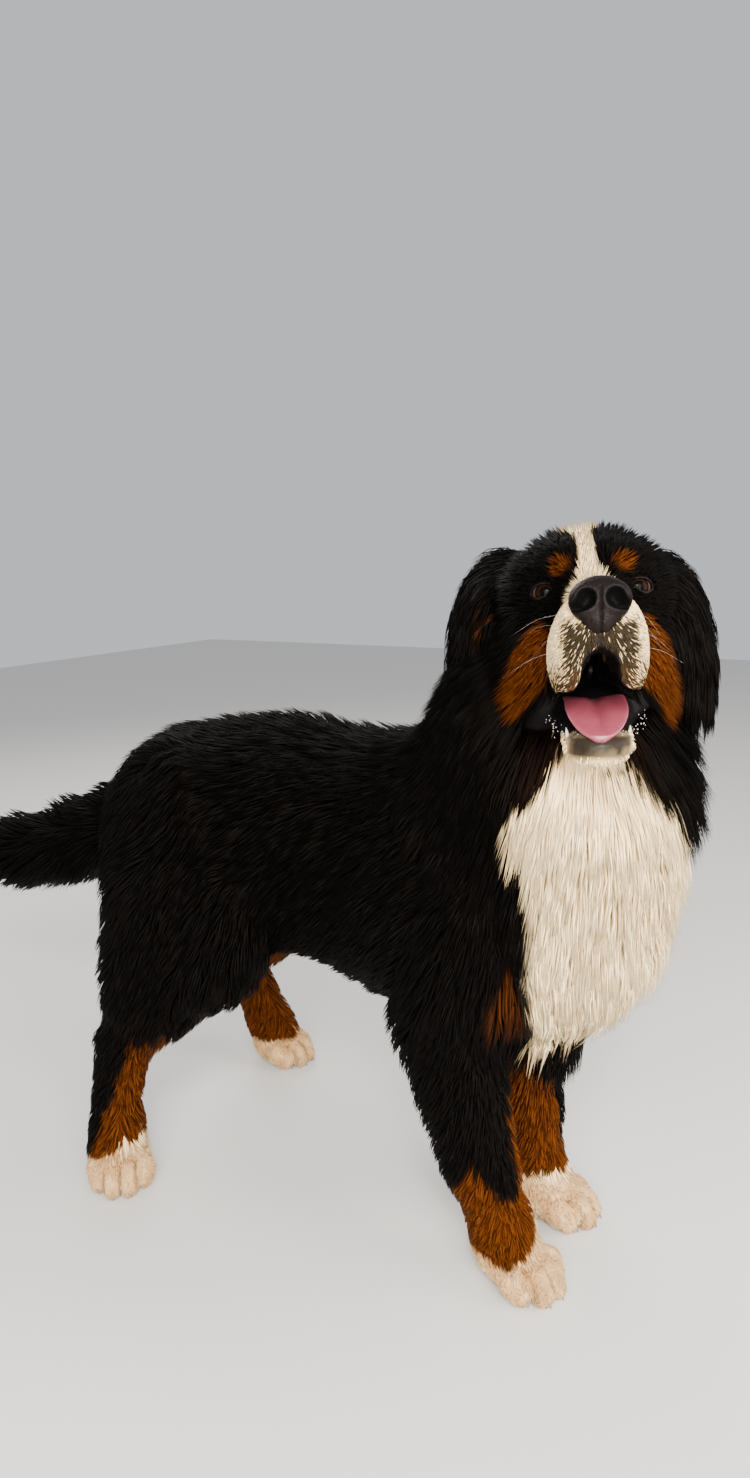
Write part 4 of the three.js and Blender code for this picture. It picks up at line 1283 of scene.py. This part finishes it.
def coat():
    sown = [sow(*SKINS["body"], 230000), sow(*SKINS["head"], 90000)]
    sown += [sow(*SKINS[paw_name], 9000) for paw_name, _, _ in paw_frames()]
    spots, normals = (np.concatenate([s[k] for s in sown]) for k in (0, 1))
    region = region_of(spots)
    close = np.linalg.norm(to_head(spots), axis=1) < NEAR_HEAD
    bald = np.zeros(len(spots), bool)
    h = to_head(spots[close])
    nose = np.linalg.norm((h - (168, 0, -14)) / (21, 27, 19), axis=1) < 1
    bald[close] = (bare(h) > 0.5) | nose
    pieces = []
    for name, c in COAT.items():
        mine = (region == name) & ~bald
        pieces += grown(name, c, spots[mine], normals[mine])
    for name, leg in LEGS.items():
        pieces.append(ear_coat(leg["side"], name))
    return pieces


coats = coat()

# Eyes, nose and tongue

GAZE = {side: unit(np.array([0.96, side * 0.10, -0.09])) for side in (-1, 1)}


def eye_piece(side, name):
    """An eyeball with a slightly raised cornea where it looks."""
    ring, sides = 44, 48
    look = GAZE[side]
    theta = np.linspace(0, np.pi, ring)
    bulge = 1 + 0.06 * np.exp(-((theta / 0.55) ** 4))
    angle = np.arange(sides) / sides * 2 * np.pi
    u = unit(np.cross([0, 0, 1.0], look))
    v = np.cross(look, u)
    circle = np.cos(angle)[:, None] * u + np.sin(angle)[:, None] * v
    rows = [EYE_RADIUS * b * (math.cos(a) * look + math.sin(a) * circle) for a, b in zip(theta, bulge)]
    points = np.array(rows).reshape(-1, 3) + (EYE[0], side * EYE[1], EYE[2])
    row, col = np.meshgrid(np.arange(ring - 1), np.arange(sides), indexing="ij")
    row, col = row.ravel(), col.ravel()
    ahead = (col + 1) % sides
    here, above = row * sides, (row + 1) * sides
    a, b, c, d = here + col, above + col, above + ahead, here + ahead
    first, last = row == 0, row == ring - 2
    c[last], b[last] = (ring - 1) * sides, (ring - 1) * sides
    a[first], d[first] = 0, 0
    faces = np.stack([a, b, c, d], 1)
    faces[first] = np.stack([b, c, d, d], 1)[first]
    faces[last] = np.stack([d, a, b, b], 1)[last]
    used, inverse = np.unique(faces, return_inverse=True)
    off = np.repeat(theta, sides)[used]
    return mesh_object(name, from_head(points)[used], inverse.reshape(faces.shape), {"off_axis": off})


def eye_finish():
    finish = Finish("eye", 0.3, Coat_Weight=0.05, Coat_Roughness=0.02, Specular_IOR_Level=0.01)
    off = finish.attribute("off_axis")
    iris = finish.mix(finish.noise(900, 2), (0.0032, 0.0013, 0.0007), (0.016, 0.0060, 0.0024))
    ringed = finish.mix(((off - 0.66) * 12).clamped(), iris, (0.003, 0.002, 0.002))
    white = finish.mix(((off - 0.84) * 9).clamped(), ringed, (0.065, 0.032, 0.027))
    finish.set(Base_Color=finish.mix(((off - 0.38) * 30).clamped(), (0.001, 0.001, 0.001), white))
    return finish.material


EYE_FINISH = eye_finish()
pieces = [(skin, REPLACED, "coat")]
for name, leg in LEGS.items():
    eye = eye_piece(leg["side"], f"eyeball_{name}")
    eye.data.materials.append(EYE_FINISH)
    pieces.append((eye, [f"eye_{name}"], "eyes"))
    middle = np.array([EYE[0], leg["side"] * EYE[1], EYE[2]])
    rim = lambda p, share, side=leg["side"]: rim_field(p, side)
    lid_points, lid_faces = surface(rim, middle - 18, middle + 18, 0.7)
    lid = mesh_object(f"lids_{name}", from_head(lid_points), lid_faces)
    lid.data.materials.append(LID_FINISH)
    pieces.append((lid, [], "coat"))

NOSE = [
    Egg((163, 0, -14), (16, 23, 18)),
    *both(lambda s: Egg((169, s * 13, -18), (12, 12, 14))),
    Egg((163, 0, -32), (12, 15, 12)),
]


def nostrils(p):
    """How far outside the nostrils a point of the nose is."""
    holes = []
    for s in (-1, 1):
        round_hole = Egg((183, s * 12.5, -17), (16, 7.8, 8.6), 0, 0, s * 12)
        slit = Egg((176, s * 21, -23), (12, 7.5, 4.0), 0, 0, s * 30)
        holes.append(joined([round_hole, slit], 6)(p, 0))
    return np.minimum(*holes)


def nose_field(p, share):
    near = joined(NOSE, 6)(p, 0)
    near = near + 1.3 * np.exp(-((p[:, 1] / 1.2) ** 2)) * smooth(-2, -14, p[:, 2])
    return -blended(-near, nostrils(p), 3)


def leather_finish():
    finish = Finish("nose_leather", 0.5, Coat_Weight=0.02, Coat_Roughness=0.35, Specular_IOR_Level=0.05)
    cells = finish.node("ShaderNodeTexVoronoi", None, {"Vector": finish.where(), "Scale": 480.0})
    colour = finish.mix(finish.noise(90), (0.0022, 0.0014, 0.0014), (0.0085, 0.0052, 0.0052))
    # Painted shade: darker inside the nostrils, round their rims and down the groove; the roughness
    # follows it too.
    nose_shade = finish.attribute("nose_shade")
    finish.set(Base_Color=finish.mix(nose_shade, colour, (0.0008, 0.0007, 0.0007)),
               Roughness=nose_shade * 0.5 + 0.42, Normal=finish.bump(cells, 0.0008, 0.6))
    return finish.material


nose_points, nose_faces = surface(nose_field, (134, -36, -48), (194, 36, 16), 1.0)
# Painted shade inside the nostrils and just round their rims, and down the groove below the nose's
# middle.
nose_shade = smooth(1.2, -0.6, nostrils(nose_points)) + smooth(2.2, 0.8, nostrils(nose_points)) * 0.3
groove = np.exp(-((nose_points[:, 1] / 0.9) ** 2)) * (nose_points[:, 2] < -8)
dark = {"nose_shade": np.clip(nose_shade + 0.8 * groove, 0, 1)}
nose = mesh_object("nose_leather", from_head(nose_points), nose_faces, dark)
nose.data.materials.append(leather_finish())
pieces.append((nose, ["nose"], "nose"))


def tongue_piece():
    width = lambda t: 27 * np.sqrt(np.maximum(0.02, 1 - np.maximum(0, (t - 0.55) / 0.46) ** 2))
    thick = lambda t: 6 - 2.5 * t
    cup = lambda t: -7 * (1 - 0.7 * t)

    def dip(t, lateral, height):
        groove = -3.4 * np.exp(-((lateral / 0.15) ** 2)) * (height > 0)
        return groove * np.sin(np.pi * np.minimum(1, t * 1.08))

    knots = [(22, 0, -80), (62, 0, -86), (100, 0, -102), (133, 0, -126)]
    rings = sides = 44
    points, faces = strap(knots, rings, sides, np.array([0, 0, 1.0]), width, thick, cup, dip)
    along = np.append(np.repeat(np.linspace(0, 1, rings), sides), (0, 1))
    return mesh_object("tongue_flesh", from_head(points), faces, {"along": along})


def tongue_finish():
    finish = Finish("tongue_flesh", 0.36, Subsurface_Weight=0.1, Coat_Weight=0.3, Coat_Roughness=0.2)
    finish.shader.inputs["Subsurface Radius"].default_value = (0.005, 0.002, 0.001)
    back = finish.mix(finish.noise(160, 4), (0.13, 0.020, 0.034), (0.26, 0.052, 0.074))
    front = finish.mix(finish.noise(210, 4), (0.16, 0.022, 0.040), (0.28, 0.058, 0.085))
    finish.set(Base_Color=finish.mix(((finish.attribute("along") - 0.5) * 2.6).clamped(), back, front),
               Normal=finish.bump(finish.noise(1100, 2), 0.0007, 0.7))
    return finish.material


tongue = tongue_piece()
tongue.data.materials.append(tongue_finish())
pieces.append((tongue, ["tongue"], "tongue"))


# Teeth, claws, whiskers and the froth on the lips

def spike(knots, radius, rings=9, sides=9, blunt=0.5, facing=(0.3, 0.2, 0.9)):
    """A round, tapered strap: a tooth, a claw or a whisker."""
    taper = lambda t: radius * np.maximum(1 - t, 0.04) ** blunt
    return strap(knots, rings, sides, unit(np.array(facing, float)), taper, taper)


def plain_piece(name, meshes, finish, slot):
    piece = mesh_object(name, *merged(*meshes))
    piece.data.materials.append(finish.material)
    pieces.append((piece, [], slot))


enamel = Finish("enamel", 0.25, Coat_Weight=0.5, Coat_Roughness=0.1)
enamel.set(Base_Color=enamel.mix(enamel.noise(260), (0.38, 0.32, 0.22), (0.58, 0.53, 0.43)))
teeth = []
for s in (-1, 1):
    lower_fang = [(102, s * 25.5, -121), (104, s * 26.5, -116), (104, s * 27, -111)]
    upper_fang = [(124, s * 24, -56), (127, s * 24, -66), (125, s * 23.5, -76)]
    teeth += [spike(lower_fang, 2.3, 10, 12, 0.6), spike(upper_fang, 4.0, 10, 12, 0.6)]
    for k in range(3):
        x, z = 80 - 15 * k, -113 + 5 * k
        teeth.append(spike([(x, s * 27, z), (x, s * 27.5, z + 6)], 2.6, 6, 8, 0.4))
plain_piece("teeth", [(from_head(p), f) for p, f in teeth], enamel, "white_coat")

drool = Finish("froth", 0.12, Coat_Weight=0.6, Coat_Roughness=0.05)
drool.set(Base_Color=drool.mix(drool.noise(300), (0.10, 0.09, 0.085), (0.42, 0.40, 0.38)))
drops = []
for s in (-1, 1):
    lip = [(64, s * 43, -98), (86, s * 38, -107), (104, s * 31, -116), (120, s * 17, -121)]
    lip = along_curve(lip, 30)
    for at in lip + random.normal(0, 2.6, lip.shape):
        r = random.uniform(0.3, 0.75)
        ball = lambda t, r=r: r * np.sqrt(np.maximum(0.05, 1 - (2 * t - 1) ** 2))
        knots = [at - (0, 0, r), at, at + (0, 0, r)]
        drops.append(strap(knots, 7, 7, np.array([1.0, 0, 0]), ball, ball))
plain_piece("froth", [(from_head(p), f) for p, f in drops], drool, "tongue")

horn = Finish("horn", 0.35, Coat_Weight=0.2, Coat_Roughness=0.3)
horn.set(Base_Color=horn.mix(horn.noise(180), (0.06, 0.045, 0.035), (0.30, 0.23, 0.17)))
claws = []
for _, at, axes in paw_frames():
    for y, x, r in TOES:
        front = x + r
        knots = [(front - 6, y, 13), (front + 1, y * 1.02, 12), (front + 5, y * 1.03, 5)]
        p, f = spike(knots, 3.0, 8, 10, 0.55)
        claws.append((p @ axes.T + at, f))
plain_piece("claws", claws, horn, "nose")

hair = Finish("whisker", 0.4)
hair.set(Base_Color=hair.mix(hair.noise(80), (0.12, 0.10, 0.085), (0.45, 0.42, 0.38)))
whiskers = []
for s in (-1, 1):
    for k in range(4):
        x = 148 - 9 * k + random.uniform(-2, 2)
        z = -24 - 12 * (k % 3) + random.uniform(-3, 3)
        out = random.uniform(26, 60)
        start = np.array([x, s * (26 + 1.2 * k), z])
        bend = np.array([-0.35, s * 0.9, random.uniform(-0.6, 0.2)]) * out
        knots = [start, start + bend * 0.5, start + bend + (-10, 0, -8)]
        whiskers.append(spike(knots, 0.10, 9, 4, 0.5))
plain_piece("whiskers", [(from_head(p), f) for p, f in whiskers], hair, "white_coat")

# The floor, the light and the camera

def stage():
    floor = bpy.data.meshes.new("floor")
    floor.from_pydata([(-6, -6, 0), (6, -6, 0), (6, 6, 0), (-6, 6, 0)], [], [(0, 1, 2, 3)])
    ground = bpy.data.objects.new("floor", floor)
    bpy.context.scene.collection.objects.link(ground)
    finish = Finish("pale_floor", 0.7)
    finish.set(Base_Color=(0.64, 0.63, 0.61))
    floor.materials.append(finish.material)
    world = bpy.data.worlds.new("studio")
    world.use_nodes = True
    sky = world.node_tree.nodes["Background"]
    sky.inputs["Color"].default_value = (0.86, 0.88, 0.92, 1)
    sky.inputs["Strength"].default_value = 0.75
    bpy.context.scene.world = world
    aim = Vector((0.1, 0, 0.45))
    for name, at, size, power in (
        ("key", (1.65, -1.75, 1.2), 2.0, 225),
        ("fill", (2.6, 0.5, 1.4), 2.0, 85),
        ("spark", (1.3, -1.5, 1.75), 0.22, 26),
        ("rim", (-1.8, 1.4, 2.4), 1.6, 60),
    ):
        light = bpy.data.lights.new(name, "AREA")
        light.size, light.energy, light.color = size, power, (1.0, 0.955, 0.89)
        lamp = bpy.data.objects.new(name, light)
        lamp.location = at
        lamp.rotation_euler = (aim - Vector(at)).to_track_quat("-Z", "Y").to_euler()
        bpy.context.scene.collection.objects.link(lamp)


CAMERA_AT = np.array([754.7, -979.6, 860.0])
CAMERA_AHEAD = np.array([-0.5857, 0.8106, 0.0])
CAMERA_PITCH, CAMERA_ROLL = 15.15, -1.92  # degrees down, and clockwise
SENSOR = 36
FOCAL_PIXELS, TALL_PIXELS = 1005.5, 1478  # the lens's length and the frame's height, in pixels


def camera():
    pitch, roll = math.radians(CAMERA_PITCH), math.radians(CAMERA_ROLL)
    level = np.array([CAMERA_AHEAD[1], -CAMERA_AHEAD[0], 0])
    up = np.array([0, 0, 1.0])
    ahead = CAMERA_AHEAD * math.cos(pitch) - up * math.sin(pitch)
    top = CAMERA_AHEAD * math.sin(pitch) + up * math.cos(pitch)
    right = level * math.cos(roll) + top * math.sin(roll)
    top = -level * math.sin(roll) + top * math.cos(roll)
    data = bpy.data.cameras.new("camera")
    data.sensor_width = SENSOR
    data.lens = SENSOR * FOCAL_PIXELS / TALL_PIXELS
    data.shift_y = 0.0497
    data.clip_start = 0.02
    eye = bpy.data.objects.new("camera", data)
    matrix = Matrix.Identity(4)
    for i in range(3):
        for j, axis in enumerate((right, top, -ahead)):
            matrix[i][j] = axis[i]
        matrix[i][3] = place(CAMERA_AT)[i]
    eye.matrix_world = matrix
    bpy.context.scene.collection.objects.link(eye)
    bpy.context.scene.camera = eye


stage()
camera()

for piece, nodes, slot in pieces:
    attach(piece, "root")
    if nodes:
        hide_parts(*nodes)
for coat in coats:
    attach(coat, "root")
